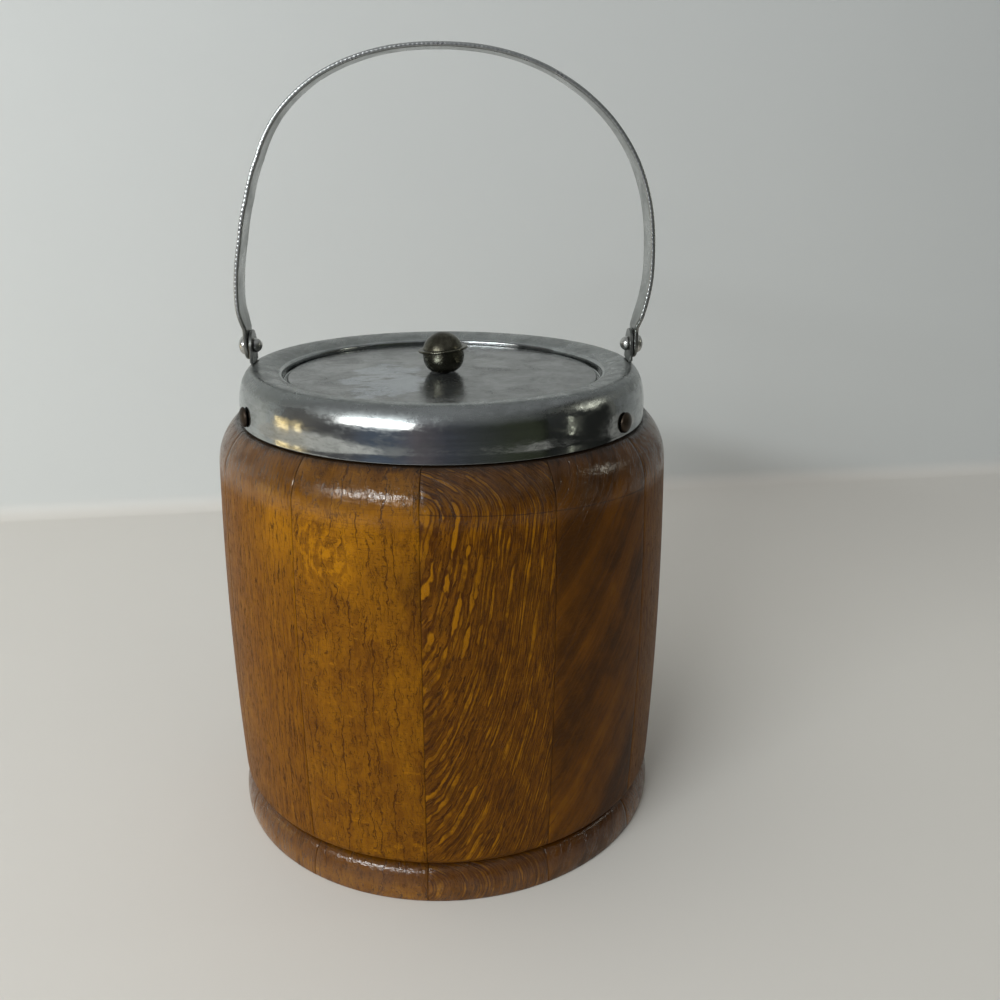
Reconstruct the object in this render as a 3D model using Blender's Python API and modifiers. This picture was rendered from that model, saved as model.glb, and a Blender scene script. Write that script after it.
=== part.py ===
"""Oak biscuit barrel with a chromed collar, a drop-in lid and a swinging bail.

Twelve oak staves are glued round a bottom board and turned as one blank, with
a bead at the foot, a rounded shoulder and a neck. A spun metal collar sits on
the neck, nailed at three stave joints, and its ledge carries the flat lid.
A glazed liner stands inside. The bail turns on two rivets in ears that stand
on the collar. Z is up, -Y is the front, and the bail lies along X.
"""

import math

import bmesh
import bpy
from mathutils import Matrix

# Clearances

SEAT_GAP = 0.0003
LINER_CLEARANCE = 0.0008
LID_CLEARANCE = 0.0013
EYE_CLEARANCE = 0.0011

# Turned oak blank

STAVE_COUNT = 12
FACETS_PER_STAVE = 6
FIRST_JOINT_DEG = -5.5
OAK_VARIATION = 0.16
NECK_RADIUS = 0.0650
NECK_WALL = 0.0065
NECK_BEVEL = 0.0015
NECK_BEVEL_HEIGHT = 0.0045
BELLY_OVERHANG = 0.0100
BELLY_HEIGHT = 0.0680
BELLY_CURVE = 1.268
SHOULDER_HEIGHT = 0.1247
SHOULDER_ROUND = 0.0180
SHOULDER_RISE = 0.0137
FOOT_ROUND_HEIGHT = 0.0036
GROOVE_DEPTH = 0.0034
GROOVE_WIDTH = 0.0012
BEAD_HEIGHT = 0.0112
BEAD_INSET = 0.0005
BEAD_WIDEST = 0.0020
BEAD_FOOT_EASE = 0.0004
REBATE_DEPTH = 0.0035
REBATE_HEIGHT = 0.0100
BOARD_STEPS = 48

# Glazed liner

LINER_WALL = 0.0050
LINER_FLOOR = 0.0050
LINER_RIM_SWELL = 0.0022
LINER_RIM_HEIGHT = 0.0040
LINER_RIM_ROUND = 0.0015
LINER_FILLET = 0.0060
LINER_FOOT_ROUND = 0.0030
LINER_STEPS = 32

# Spun collar

COLLAR_SHEET = 0.0008
BAND_HEIGHT = 0.0043
CREST_RISE = 0.0114
CREST_INSET = 0.0053
DISH_WIDTH = 0.0087
DISH_DROP = 0.0018
LIP_ROUND = 0.0010
RECESS_DEPTH = 0.0030
LEDGE_WIDTH = 0.0036
COLLAR_STEPS = 42

# Collar nails, one at every fourth stave joint

NAIL_COUNT = 3
FIRST_NAIL_JOINT = 2
NAIL_PIN_RADIUS = 0.0009
NAIL_HEAD_BRIM = 0.00225
NAIL_HEAD_HEIGHT = 0.0015
NAIL_COVER = 0.0015
NAIL_STEPS = 12

# Lid

LID_SHEET = 0.0008
LID_STEP = 0.0003
LID_STEPS = 40

# Ball knob, pressed in two halves with a crimped seam

KNOB_RADIUS = 0.0068
KNOB_SHEET = 0.0007
KNOB_FLAT = 0.0008
SEAM_RISE = 0.0013
SEAM_WIDTH = 0.0014
SEAM_THICKNESS = 0.0008
SEAM_TILT_DEG = -5.5
KNOB_POLE = 0.985
KNOB_STEPS = 20

# Knob stud, washer and nut

STUD_RADIUS = 0.0018
STUD_HEAD_BRIM = 0.0012
STUD_HEAD_HEIGHT = 0.0012
STUD_HEAD_LIFT = 0.0004
STUD_TAIL = 0.0010
WASHER_BRIM = 0.0027
WASHER_THICKNESS = 0.0008
NUT_WALL = 0.0012
NUT_HEIGHT = 0.0026

# Ears, rivets and bail

RIVET_RADIUS = 0.0015
INNER_HEAD_BRIM = 0.0008
INNER_HEAD_HEIGHT = 0.0023
OUTER_HEAD_BRIM = 0.0015
OUTER_HEAD_HEIGHT = 0.0020
RIVET_STEPS = 14
EAR_OFFSET = 0.0008
EAR_THICKNESS = 0.0009
EAR_BRIM = 0.0035
EAR_CORNER_RISE = 0.0003
TAB_WIDTH = 0.0070
TAB_LENGTH = 0.0037
EYE_BRIM = 0.0030
EYE_NECK_RISE = 0.0050
STRIP_THICKNESS = 0.0014
STRIP_SHOULDER_RISE = 0.0090
STRIP_LOW_WIDTH = 0.0120
STRIP_TAPER_RISE = 0.0420
STRIP_CROWN_WIDTH = 0.0085
BAIL_SPREAD = 0.00275
BAIL_WIDEST_RISE = 0.0240
BAIL_CROWN_RISE = 0.0656
BAIL_FULLNESS = 2.2
FLARE_RADIUS = 0.0617
CROWN_STEPS = 22
FLARE_STEPS = 5

# Oak: sizes that follow from the ones above

BELLY_RADIUS = NECK_RADIUS + BELLY_OVERHANG
BORE_RADIUS = NECK_RADIUS - NECK_WALL
GROOVE_RADIUS = BELLY_RADIUS - GROOVE_DEPTH
BEAD_RADIUS = BELLY_RADIUS - BEAD_INSET
REBATE_RADIUS = BORE_RADIUS + REBATE_DEPTH
FOOT_HEIGHT = BEAD_HEIGHT + GROOVE_WIDTH
SHELF_HEIGHT = SHOULDER_HEIGHT + SHOULDER_RISE

# Collar and lid: sizes that follow

COLLAR_BOTTOM = SHELF_HEIGHT + SEAT_GAP
COLLAR_RADIUS = NECK_RADIUS + SEAT_GAP + COLLAR_SHEET
BAND_TOP = COLLAR_BOTTOM + BAND_HEIGHT
NECK_TOP = BAND_TOP + NECK_BEVEL_HEIGHT
SECTOR_LENGTH = 3 * NECK_TOP
CREST_RADIUS = COLLAR_RADIUS - CREST_INSET
CREST_HEIGHT = BAND_TOP + CREST_RISE
LIP_HEIGHT = CREST_HEIGHT - DISH_DROP
RECESS_RADIUS = CREST_RADIUS - DISH_WIDTH
LEDGE_HEIGHT = LIP_HEIGHT - RECESS_DEPTH
LEDGE_RADIUS = RECESS_RADIUS - LEDGE_WIDTH
NAIL_HEIGHT = BAND_TOP
NAIL_HEAD_RADIUS = NAIL_PIN_RADIUS + NAIL_HEAD_BRIM
NAIL_DEPTH = NECK_WALL - NAIL_COVER
LID_BOTTOM = LEDGE_HEIGHT + SEAT_GAP
LID_RADIUS = RECESS_RADIUS - LID_CLEARANCE
LID_RIM_HEIGHT = LID_SHEET + LID_STEP

# Knob and its fastening: sizes that follow

SEAM_RADIUS = KNOB_RADIUS + SEAM_WIDTH
KNOB_FOOT = LID_BOTTOM + LID_RIM_HEIGHT + SEAT_GAP
KNOB_HEIGHT = KNOB_FOOT + KNOB_RADIUS - KNOB_FLAT
STUD_HEAD_RADIUS = STUD_RADIUS + STUD_HEAD_BRIM
STUD_HOLE_RADIUS = STUD_RADIUS + SEAT_GAP
WASHER_RADIUS = STUD_RADIUS + WASHER_BRIM
NUT_ACROSS_FLATS = 2 * (STUD_RADIUS + NUT_WALL)

# Ears, rivets and bail: sizes that follow

INNER_HEAD_RADIUS = RIVET_RADIUS + INNER_HEAD_BRIM
OUTER_HEAD_RADIUS = RIVET_RADIUS + OUTER_HEAD_BRIM
RIVET_HOLE_RADIUS = RIVET_RADIUS + SEAT_GAP
EYE_RADIUS = RIVET_RADIUS + EYE_BRIM
EAR_RADIUS = RIVET_RADIUS + EAR_BRIM
PIVOT_RISE = EYE_RADIUS + EYE_CLEARANCE
PIVOT_HEIGHT = CREST_HEIGHT + PIVOT_RISE
EAR_DISTANCE = CREST_RADIUS + EAR_OFFSET
EAR_INNER = EAR_DISTANCE - EAR_THICKNESS / 2
EAR_OUTER = EAR_DISTANCE + EAR_THICKNESS / 2
EYE_INNER = EAR_OUTER + SEAT_GAP
EYE_OUTER = EYE_INNER + STRIP_THICKNESS
BAIL_HALF_SPAN = EYE_OUTER + BAIL_SPREAD


def clear_scene():
    """Remove whatever the scene holds at the start."""
    for leftover in list(bpy.data.objects):
        bpy.data.objects.remove(leftover, do_unlink=True)


def make_collection(name, hidden=False):
    """A collection linked to the scene, hidden from renders for cutters."""
    collection = bpy.data.collections.new(name)
    bpy.context.scene.collection.children.link(collection)
    collection.hide_render = hidden
    return collection


clear_scene()
PARTS = make_collection("biscuit_barrel")
CUTTERS = make_collection("cutters", hidden=True)


def finish(name, colour, roughness, metallic):
    """A Principled BSDF material of one plain colour."""
    material = bpy.data.materials.new(name + "_finish")
    material.use_nodes = True
    shader = material.node_tree.nodes["Principled BSDF"]
    shader.inputs["Base Color"].default_value = (*colour, 1.0)
    shader.inputs["Roughness"].default_value = roughness
    shader.inputs["Metallic"].default_value = metallic
    return material


def oak_finish(name, shade):
    """Amber varnished oak, lighter or darker by shade."""
    amber = (0.40, 0.175, 0.035)
    return finish(name, [channel * shade for channel in amber], 0.32, 0.0)


def chrome_finish(name):
    """Old chrome plate with a slight haze."""
    return finish(name, (0.62, 0.63, 0.63), 0.16, 1.0)


def hazed_chrome_finish(name):
    """Scratched and hazed plate of the lid."""
    return finish(name, (0.50, 0.51, 0.50), 0.28, 1.0)


def tarnished_finish(name):
    """Dark tarnished brass of the knob and the collar nails."""
    return finish(name, (0.17, 0.14, 0.11), 0.34, 1.0)


def steel_finish(name):
    """Bright steel of the rivets and the knob's fastening."""
    return finish(name, (0.46, 0.46, 0.45), 0.26, 1.0)


def glaze_finish(name):
    """White glaze of the liner."""
    return finish(name, (0.82, 0.80, 0.74), 0.12, 0.0)


def add_object(name, mesh, collection, material=None):
    """An object with its mesh, in its collection."""
    new = bpy.data.objects.new(name, mesh)
    collection.objects.link(new)
    if material is not None:
        mesh.materials.append(material)
    return new


def add_empty(name, height):
    """An empty on the barrel's axis that carries a group of pieces."""
    empty = bpy.data.objects.new(name, None)
    empty.empty_display_size = 0.01
    empty.location = (0.0, 0.0, height)
    PARTS.objects.link(empty)
    return empty


def hide_cutter(cutter):
    """Show a cutter as wires only."""
    cutter.display_type = 'WIRE'
    cutter.hide_render = True
    return cutter


def ellipse_points(centre, radii, start_deg, end_deg, count):
    """Points (r, z) along an ellipse's arc, both ends included."""
    points = []
    for step in range(count):
        angle = math.radians(start_deg + (end_deg - start_deg) * step / (count - 1))
        points.append((centre[0] + radii[0] * math.cos(angle), centre[1] + radii[1] * math.sin(angle)))
    return points


def profile_mesh(name, points, closed):
    """A wire of (r, z) points in the XZ plane, at +X."""
    shape = bmesh.new()
    verts = [shape.verts.new((r, 0.0, z)) for r, z in points]
    for first, second in zip(verts, verts[1:]):
        shape.edges.new((first, second))
    if closed:
        shape.edges.new((verts[-1], verts[0]))
    mesh = bpy.data.meshes.new(name)
    shape.to_mesh(mesh)
    shape.free()
    return mesh


def turned(name, points, steps, collection, material=None, closed=False):
    """A turned piece: a profile spun round Z by a Screw modifier."""
    new = add_object(name, profile_mesh(name, points, closed), collection, material)
    screw = new.modifiers.new("turn", 'SCREW')
    screw.axis = 'Z'
    screw.steps = steps
    screw.render_steps = steps
    screw.use_merge_vertices = True
    screw.merge_threshold = 0.00001
    screw.use_smooth_shade = True
    return new


def thicken(piece, thickness):
    """Give a spun surface its sheet thickness, behind its shown face."""
    solidify = piece.modifiers.new("sheet", 'SOLIDIFY')
    solidify.thickness = thickness
    solidify.offset = -1.0
    solidify.use_even_offset = True


def boolean(piece, cutter, operation):
    """Cut a piece with another, or keep what both share."""
    modifier = piece.modifiers.new(operation.lower(), 'BOOLEAN')
    modifier.operation = operation
    modifier.solver = 'EXACT'
    modifier.object = cutter


def plate_mesh(name, outline, thickness):
    """A flat plate in the XY plane: a filled 2D curve, extruded both ways."""
    curve = bpy.data.curves.new(name, 'CURVE')
    curve.dimensions = '2D'
    curve.fill_mode = 'BOTH'
    curve.extrude = thickness / 2
    spline = curve.splines.new('POLY')
    spline.points.add(len(outline) - 1)
    for point, (x, y) in zip(spline.points, outline):
        point.co = (x, y, 0.0, 1.0)
    spline.use_cyclic_u = True
    blank = bpy.data.objects.new(name, curve)
    bpy.context.scene.collection.objects.link(blank)
    mesh = bpy.data.meshes.new_from_object(blank)
    bpy.data.objects.remove(blank, do_unlink=True)
    shape = bmesh.new()
    shape.from_mesh(mesh)
    bmesh.ops.remove_doubles(shape, verts=shape.verts, dist=0.000001)
    bmesh.ops.recalc_face_normals(shape, faces=shape.faces)
    shape.to_mesh(mesh)
    shape.free()
    return mesh


def plate(name, outline, thickness, collection, material=None):
    """A flat plate as an object, still lying in the XY plane."""
    return add_object(name, plate_mesh(name, outline, thickness), collection, material)


def rod_mesh(name, radius, bottom, top, sides):
    """A closed round rod along Z."""
    shape = bmesh.new()
    middle = Matrix.Translation((0.0, 0.0, (bottom + top) / 2))
    bmesh.ops.create_cone(
        shape, cap_ends=True, segments=sides, radius1=radius, radius2=radius,
        depth=top - bottom, matrix=middle)
    mesh = bpy.data.meshes.new(name)
    shape.to_mesh(mesh)
    shape.free()
    return mesh


def box_cutter(name, size, centre):
    """A box-shaped cutter."""
    shape = bmesh.new()
    bmesh.ops.create_cube(shape, size=1.0)
    bmesh.ops.scale(shape, vec=size, verts=shape.verts)
    bmesh.ops.translate(shape, vec=centre, verts=shape.verts)
    mesh = bpy.data.meshes.new(name)
    shape.to_mesh(mesh)
    shape.free()
    return hide_cutter(add_object(name, mesh, CUTTERS))


def merged_copies(name, source, places):
    """One mesh that holds a copy of the source at each place."""
    shape = bmesh.new()
    for place in places:
        start = len(shape.verts)
        shape.from_mesh(source)
        shape.verts.ensure_lookup_table()
        bmesh.ops.transform(shape, matrix=place, verts=shape.verts[start:])
    mesh = bpy.data.meshes.new(name)
    shape.to_mesh(mesh)
    shape.free()
    return mesh


def azimuth_turn(azimuth_deg):
    """Turn about Z that takes +X to an azimuth counted from the front to +X."""
    return math.radians(azimuth_deg - 90.0)


# Oak

def belly_radius(height):
    """Radius of the gently bowed wall at a height."""
    return BELLY_RADIUS - BELLY_CURVE + math.sqrt(BELLY_CURVE ** 2 - (height - BELLY_HEIGHT) ** 2)


def blank_profile():
    """Closed outline of the turned wall: outside downwards, then inside."""
    wall_radius = belly_radius(SHOULDER_HEIGHT)
    shoulder_end = math.degrees(math.asin((SHELF_HEIGHT - SHOULDER_HEIGHT) / SHOULDER_ROUND))
    shoulder = ellipse_points(
        (wall_radius - SHOULDER_ROUND, SHOULDER_HEIGHT),
        (SHOULDER_ROUND, SHOULDER_ROUND), shoulder_end, 0.0, 7)
    foot_top = FOOT_HEIGHT + FOOT_ROUND_HEIGHT
    wall_heights = [SHOULDER_HEIGHT + (foot_top - SHOULDER_HEIGHT) * step / 6 for step in range(1, 6)]
    wall = [(belly_radius(height), height) for height in wall_heights]
    foot = ellipse_points(
        (GROOVE_RADIUS, foot_top),
        (belly_radius(foot_top) - GROOVE_RADIUS, FOOT_ROUND_HEIGHT), 0.0, -90.0, 4)
    bead = ellipse_points(
        (GROOVE_RADIUS, BEAD_WIDEST),
        (BEAD_RADIUS - GROOVE_RADIUS, BEAD_HEIGHT - BEAD_WIDEST), 90.0, 0.0, 7)
    bead_foot = ellipse_points(
        (BEAD_RADIUS - BEAD_FOOT_EASE, BEAD_WIDEST), (BEAD_FOOT_EASE, BEAD_WIDEST), 0.0, -90.0, 3)
    outside = [
        (NECK_RADIUS - NECK_BEVEL, NECK_TOP), (NECK_RADIUS, NECK_TOP - NECK_BEVEL_HEIGHT),
        (NECK_RADIUS, SHELF_HEIGHT)]
    outside += shoulder + wall + foot + bead + bead_foot[1:]
    inside = [
        (REBATE_RADIUS, 0.0), (REBATE_RADIUS, REBATE_HEIGHT),
        (BORE_RADIUS, REBATE_HEIGHT), (BORE_RADIUS, NECK_TOP)]
    return outside + inside


def turned_blank():
    """The whole oak wall as it leaves the lathe, from which staves are taken."""
    facets = STAVE_COUNT * FACETS_PER_STAVE
    blank = turned("turned_blank", blank_profile(), facets, CUTTERS, closed=True)
    blank.rotation_euler.z = azimuth_turn(FIRST_JOINT_DEG) + math.pi / facets
    return hide_cutter(blank)


def stave_outline():
    """Sector of one stave, narrowed by half a glue line on each side."""
    half_angle = math.pi / STAVE_COUNT
    apex = SEAT_GAP / 2 / math.sin(half_angle)
    reach = 2 * BELLY_RADIUS
    side = (apex + reach * math.cos(half_angle), reach * math.sin(half_angle))
    return [(apex, 0.0), (side[0], -side[1]), side]


def add_stave(index, blank, nail_holes):
    """One stave: its sector of the turned blank, with the nail holes."""
    name = "stave_%02d" % (index + 1)
    shade = 1.0 + OAK_VARIATION * math.sin(math.pi * 0.75 * index)
    stave = plate(name, stave_outline(), SECTOR_LENGTH, PARTS, oak_finish(name, shade))
    middle_deg = FIRST_JOINT_DEG + (index + 0.5) * 360.0 / STAVE_COUNT
    stave.rotation_euler.z = azimuth_turn(middle_deg)
    boolean(stave, blank, 'INTERSECT')
    boolean(stave, nail_holes, 'DIFFERENCE')
    return stave


def add_bottom_board():
    """Round oak board let into the staves' rebate."""
    mesh = rod_mesh("bottom_board", REBATE_RADIUS - SEAT_GAP, 0.0, REBATE_HEIGHT - SEAT_GAP, BOARD_STEPS)
    return add_object("bottom_board", mesh, PARTS, oak_finish("bottom_board", 0.8))


# Liner

def add_liner():
    """Glazed pot with a thick rolled rim, standing on the bottom board."""
    bottom = REBATE_HEIGHT
    outer = BORE_RADIUS - LINER_CLEARANCE
    bore = outer - LINER_WALL
    rim_bore = bore - LINER_RIM_SWELL
    floor = bottom + LINER_FLOOR
    top = LEDGE_HEIGHT - COLLAR_SHEET - SEAT_GAP
    rim_under = top - LINER_RIM_HEIGHT
    points = [(0.0, floor)]
    points += ellipse_points(
        (bore - LINER_FILLET, floor + LINER_FILLET), (LINER_FILLET, LINER_FILLET), -90.0, 0.0, 4)
    points += [(bore, rim_under - LINER_RIM_SWELL), (rim_bore, rim_under)]
    points += ellipse_points(
        (rim_bore + LINER_RIM_ROUND, top - LINER_RIM_ROUND),
        (LINER_RIM_ROUND, LINER_RIM_ROUND), 180.0, 90.0, 3)
    points += ellipse_points(
        (outer - LINER_RIM_ROUND, top - LINER_RIM_ROUND),
        (LINER_RIM_ROUND, LINER_RIM_ROUND), 90.0, 0.0, 3)
    points += ellipse_points(
        (outer - LINER_FOOT_ROUND, bottom + LINER_FOOT_ROUND),
        (LINER_FOOT_ROUND, LINER_FOOT_ROUND), 0.0, -90.0, 3)
    points += [(0.0, bottom)]
    return turned("liner", points, LINER_STEPS, PARTS, glaze_finish("liner"))


# Collar

def collar_profile():
    """Shown face of the collar, from the ledge up, over and down the band."""
    points = [(LEDGE_RADIUS, LEDGE_HEIGHT), (RECESS_RADIUS, LEDGE_HEIGHT)]
    lip_top = RECESS_RADIUS + LIP_ROUND
    points += ellipse_points(
        (lip_top, LIP_HEIGHT - LIP_ROUND), (LIP_ROUND, LIP_ROUND), 180.0, 90.0, 4)
    dish_width = CREST_RADIUS - lip_top
    for share in (0.3, 0.65):
        rise = 1.0 - (1.0 - share) ** 2
        points.append((lip_top + dish_width * share, LIP_HEIGHT + DISH_DROP * rise))
    points += ellipse_points((CREST_RADIUS, BAND_TOP), (CREST_INSET, CREST_RISE), 90.0, 0.0, 8)
    points += [(COLLAR_RADIUS, COLLAR_BOTTOM)]
    return points


def add_collar(nail_holes):
    """Spun collar with slots for the ears and holes for the nails."""
    collar = turned("collar", collar_profile(), COLLAR_STEPS, PARTS, chrome_finish("collar"))
    thicken(collar, COLLAR_SHEET)
    slot_height = 2 * (TAB_LENGTH + DISH_DROP)
    for side, sign in (("left", -1), ("right", 1)):
        size = (EAR_THICKNESS + 2 * SEAT_GAP, TAB_WIDTH + 2 * SEAT_GAP, slot_height)
        slot = box_cutter("slot_" + side, size, (sign * EAR_DISTANCE, 0.0, CREST_HEIGHT))
        boolean(collar, slot, 'DIFFERENCE')
    boolean(collar, nail_holes, 'DIFFERENCE')
    return collar


def nail_places():
    """Where the nails stand: their Z axis points out of the barrel."""
    places = []
    spacing = STAVE_COUNT // NAIL_COUNT
    for index in range(NAIL_COUNT):
        joint = FIRST_JOINT_DEG + (FIRST_NAIL_JOINT + spacing * index) * 360.0 / STAVE_COUNT
        turn = Matrix.Rotation(azimuth_turn(joint), 4, 'Z')
        lean = Matrix.Rotation(math.pi / 2, 4, 'Y')
        shift = Matrix.Translation((0.0, 0.0, NAIL_HEIGHT))
        places.append(shift @ turn @ lean)
    return places


def nail_profile():
    """Domed head and pin, along the nail's own Z axis."""
    seat = COLLAR_RADIUS + SEAT_GAP
    tip = NECK_RADIUS - NAIL_DEPTH
    dome = ellipse_points((0.0, seat), (NAIL_HEAD_RADIUS, NAIL_HEAD_HEIGHT), 90.0, 0.0, 5)
    shank = [(NAIL_PIN_RADIUS, seat), (NAIL_PIN_RADIUS, tip + NAIL_PIN_RADIUS), (0.0, tip)]
    return dome + shank


def add_nails():
    """The nails that hold the collar on the neck."""
    for index, place in enumerate(nail_places()):
        name = "collar_nail_%d" % (index + 1)
        nail = turned(name, nail_profile(), NAIL_STEPS, PARTS, tarnished_finish(name))
        nail.matrix_world = place


def nail_hole_cutter():
    """Three rods that clear the nails' pins."""
    tip = NECK_RADIUS - NAIL_DEPTH - SEAT_GAP
    end = COLLAR_RADIUS + COLLAR_SHEET
    one = rod_mesh("nail_hole", NAIL_PIN_RADIUS + SEAT_GAP, tip, end, 12)
    mesh = merged_copies("nail_holes", one, nail_places())
    return hide_cutter(add_object("nail_holes", mesh, CUTTERS))


# Lid and knob. Heights here are counted from the lid's seat.

def add_lid_plate(carrier):
    """Flat pressed lid with its edge turned down onto the ledge."""
    points = [(STUD_HOLE_RADIUS, LID_RIM_HEIGHT)]
    points += ellipse_points(
        (LID_RADIUS - LID_SHEET, LID_STEP), (LID_SHEET, LID_SHEET), 90.0, 0.0, 4)
    points += [(LID_RADIUS, 0.0)]
    lid = turned("lid_plate", points, LID_STEPS, PARTS, hazed_chrome_finish("lid_plate"))
    thicken(lid, LID_SHEET)
    lid.parent = carrier
    return lid


def sphere_profile(radius, top, bottom, count):
    """Points of a ball's side from one height down to another."""
    start = math.degrees(math.asin(max(-1.0, min(1.0, top / radius))))
    end = math.degrees(math.asin(max(-1.0, min(1.0, bottom / radius))))
    return ellipse_points((0.0, 0.0), (radius, radius), start, end, count)


def add_knob_lower(carrier):
    """Lower half of the ball, with the crimped seam flange and a flat foot."""
    cavity = KNOB_RADIUS - KNOB_SHEET
    seam_bottom = SEAM_RISE - SEAM_THICKNESS / 2
    seam_top = SEAM_RISE + SEAM_THICKNESS / 2
    points = [(SEAM_RADIUS, seam_top), (SEAM_RADIUS, seam_bottom)]
    points += sphere_profile(KNOB_RADIUS, seam_bottom, -KNOB_POLE * KNOB_RADIUS, 8)
    points += reversed(sphere_profile(cavity, seam_top, -KNOB_POLE * cavity, 8))
    knob = turned("knob_lower", points, KNOB_STEPS, PARTS, tarnished_finish("knob_lower"), closed=True)
    knob.location.z = KNOB_HEIGHT - LID_BOTTOM
    knob.rotation_euler.y = math.radians(SEAM_TILT_DEG)
    knob.parent = carrier
    under = box_cutter(
        "knob_under", (3 * KNOB_RADIUS, 3 * KNOB_RADIUS, KNOB_RADIUS),
        (0.0, 0.0, KNOB_FOOT - KNOB_RADIUS / 2))
    bore = rod_mesh("knob_bore", STUD_HOLE_RADIUS, LID_BOTTOM, KNOB_HEIGHT - cavity / 2, KNOB_STEPS)
    boolean(knob, under, 'DIFFERENCE')
    boolean(knob, hide_cutter(add_object("knob_bore", bore, CUTTERS)), 'DIFFERENCE')
    return knob


def add_knob_upper(carrier):
    """Upper half of the ball, a dome held in the lower half's seam."""
    cavity = KNOB_RADIUS - KNOB_SHEET
    edge = SEAM_RISE + SEAM_THICKNESS / 2 + SEAT_GAP
    points = sphere_profile(KNOB_RADIUS, KNOB_RADIUS, edge, 6)
    points += reversed(sphere_profile(cavity, cavity, edge, 6))
    knob = turned("knob_upper", points, KNOB_STEPS, PARTS, tarnished_finish("knob_upper"))
    knob.location.z = KNOB_HEIGHT - LID_BOTTOM
    knob.rotation_euler.y = math.radians(SEAM_TILT_DEG)
    knob.parent = carrier
    return knob


def washer_top():
    """Height of the washer's upper face below the lid plate."""
    return LID_RIM_HEIGHT - LID_SHEET - SEAT_GAP


def nut_top():
    """Height of the nut's upper face below the washer."""
    return washer_top() - WASHER_THICKNESS - SEAT_GAP


def add_knob_stud(carrier):
    """Headed stud from inside the ball down through the lid."""
    cavity = KNOB_RADIUS - KNOB_SHEET
    foot = KNOB_HEIGHT - LID_BOTTOM
    head_seat = foot - math.sqrt(cavity ** 2 - STUD_HEAD_RADIUS ** 2) + STUD_HEAD_LIFT
    head_top = head_seat + STUD_HEAD_HEIGHT
    tail = nut_top() - NUT_HEIGHT - STUD_TAIL
    points = [
        (0.0, head_top), (STUD_HEAD_RADIUS, head_top), (STUD_HEAD_RADIUS, head_seat),
        (STUD_RADIUS, head_seat), (STUD_RADIUS, tail + STUD_TAIL / 2),
        (STUD_RADIUS - STUD_TAIL / 2, tail), (0.0, tail)]
    stud = turned("knob_stud", points, KNOB_STEPS, PARTS, steel_finish("knob_stud"))
    stud.parent = carrier
    return stud


def add_knob_washer(carrier):
    """Flat washer under the lid."""
    top = washer_top()
    bottom = top - WASHER_THICKNESS
    points = [
        (STUD_HOLE_RADIUS, top), (WASHER_RADIUS, top),
        (WASHER_RADIUS, bottom), (STUD_HOLE_RADIUS, bottom)]
    washer = turned("knob_washer", points, KNOB_STEPS, PARTS, steel_finish("knob_washer"), closed=True)
    washer.parent = carrier
    return washer


def add_knob_nut(carrier):
    """Hexagon nut on the stud."""
    corner = NUT_ACROSS_FLATS / math.sqrt(3.0)
    outline = [
        (corner * math.cos(math.radians(60 * side)), corner * math.sin(math.radians(60 * side)))
        for side in range(6)]
    nut = plate("knob_nut", outline, NUT_HEIGHT, PARTS, steel_finish("knob_nut"))
    nut.location.z = nut_top() - NUT_HEIGHT / 2
    nut.parent = carrier
    reach = LID_BOTTOM + nut_top()
    bore = rod_mesh("nut_bore", STUD_HOLE_RADIUS, reach - 2 * NUT_HEIGHT, reach + NUT_HEIGHT, KNOB_STEPS)
    boolean(nut, hide_cutter(add_object("nut_bore", bore, CUTTERS)), 'DIFFERENCE')
    return nut


# Ears, rivets and bail. Heights here are counted from the pivot.

def add_ear(side, sign, pivot_holes):
    """Upright ear with a round top and a tab through the collar's slot."""
    name = "ear_" + side
    half = EAR_RADIUS
    seat = SEAT_GAP - PIVOT_RISE
    tab_end = seat - TAB_LENGTH
    corner = seat + EAR_CORNER_RISE
    outline = [
        (TAB_WIDTH / 2, tab_end), (TAB_WIDTH / 2, seat), (half, corner)]
    outline += ellipse_points((0.0, 0.0), (half, half), 0.0, 180.0, 13)
    outline += [(-half, corner), (-TAB_WIDTH / 2, seat), (-TAB_WIDTH / 2, tab_end)]
    ear = plate(name, outline, EAR_THICKNESS, PARTS, chrome_finish(name))
    ear.location = (sign * EAR_DISTANCE, 0.0, PIVOT_HEIGHT)
    ear.rotation_euler = (math.pi / 2, 0.0, math.pi / 2)
    boolean(ear, pivot_holes, 'DIFFERENCE')
    return ear


def add_rivet(side, sign):
    """Rivet with a domed head on each side of the ear and the bail's eye."""
    name = "rivet_" + side
    outer_seat = EYE_OUTER + SEAT_GAP
    inner_seat = EAR_INNER - SEAT_GAP
    points = ellipse_points(
        (0.0, outer_seat), (OUTER_HEAD_RADIUS, OUTER_HEAD_HEIGHT), 90.0, 0.0, 5)
    points += [(RIVET_RADIUS, outer_seat), (RIVET_RADIUS, inner_seat)]
    points += ellipse_points(
        (0.0, inner_seat), (INNER_HEAD_RADIUS, INNER_HEAD_HEIGHT), 0.0, -90.0, 5)
    rivet = turned(name, points, RIVET_STEPS, PARTS, steel_finish(name))
    rivet.location.z = PIVOT_HEIGHT
    rivet.rotation_euler.y = sign * math.pi / 2
    return rivet


def pivot_hole_cutter():
    """One long rod along X that opens both ears and both eyes."""
    reach = BAIL_HALF_SPAN + STRIP_THICKNESS
    mesh = rod_mesh("pivot_holes", RIVET_HOLE_RADIUS, -reach, reach, 16)
    cutter = add_object("pivot_holes", mesh, CUTTERS)
    cutter.location.z = PIVOT_HEIGHT
    cutter.rotation_euler.y = math.pi / 2
    return hide_cutter(cutter)


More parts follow.
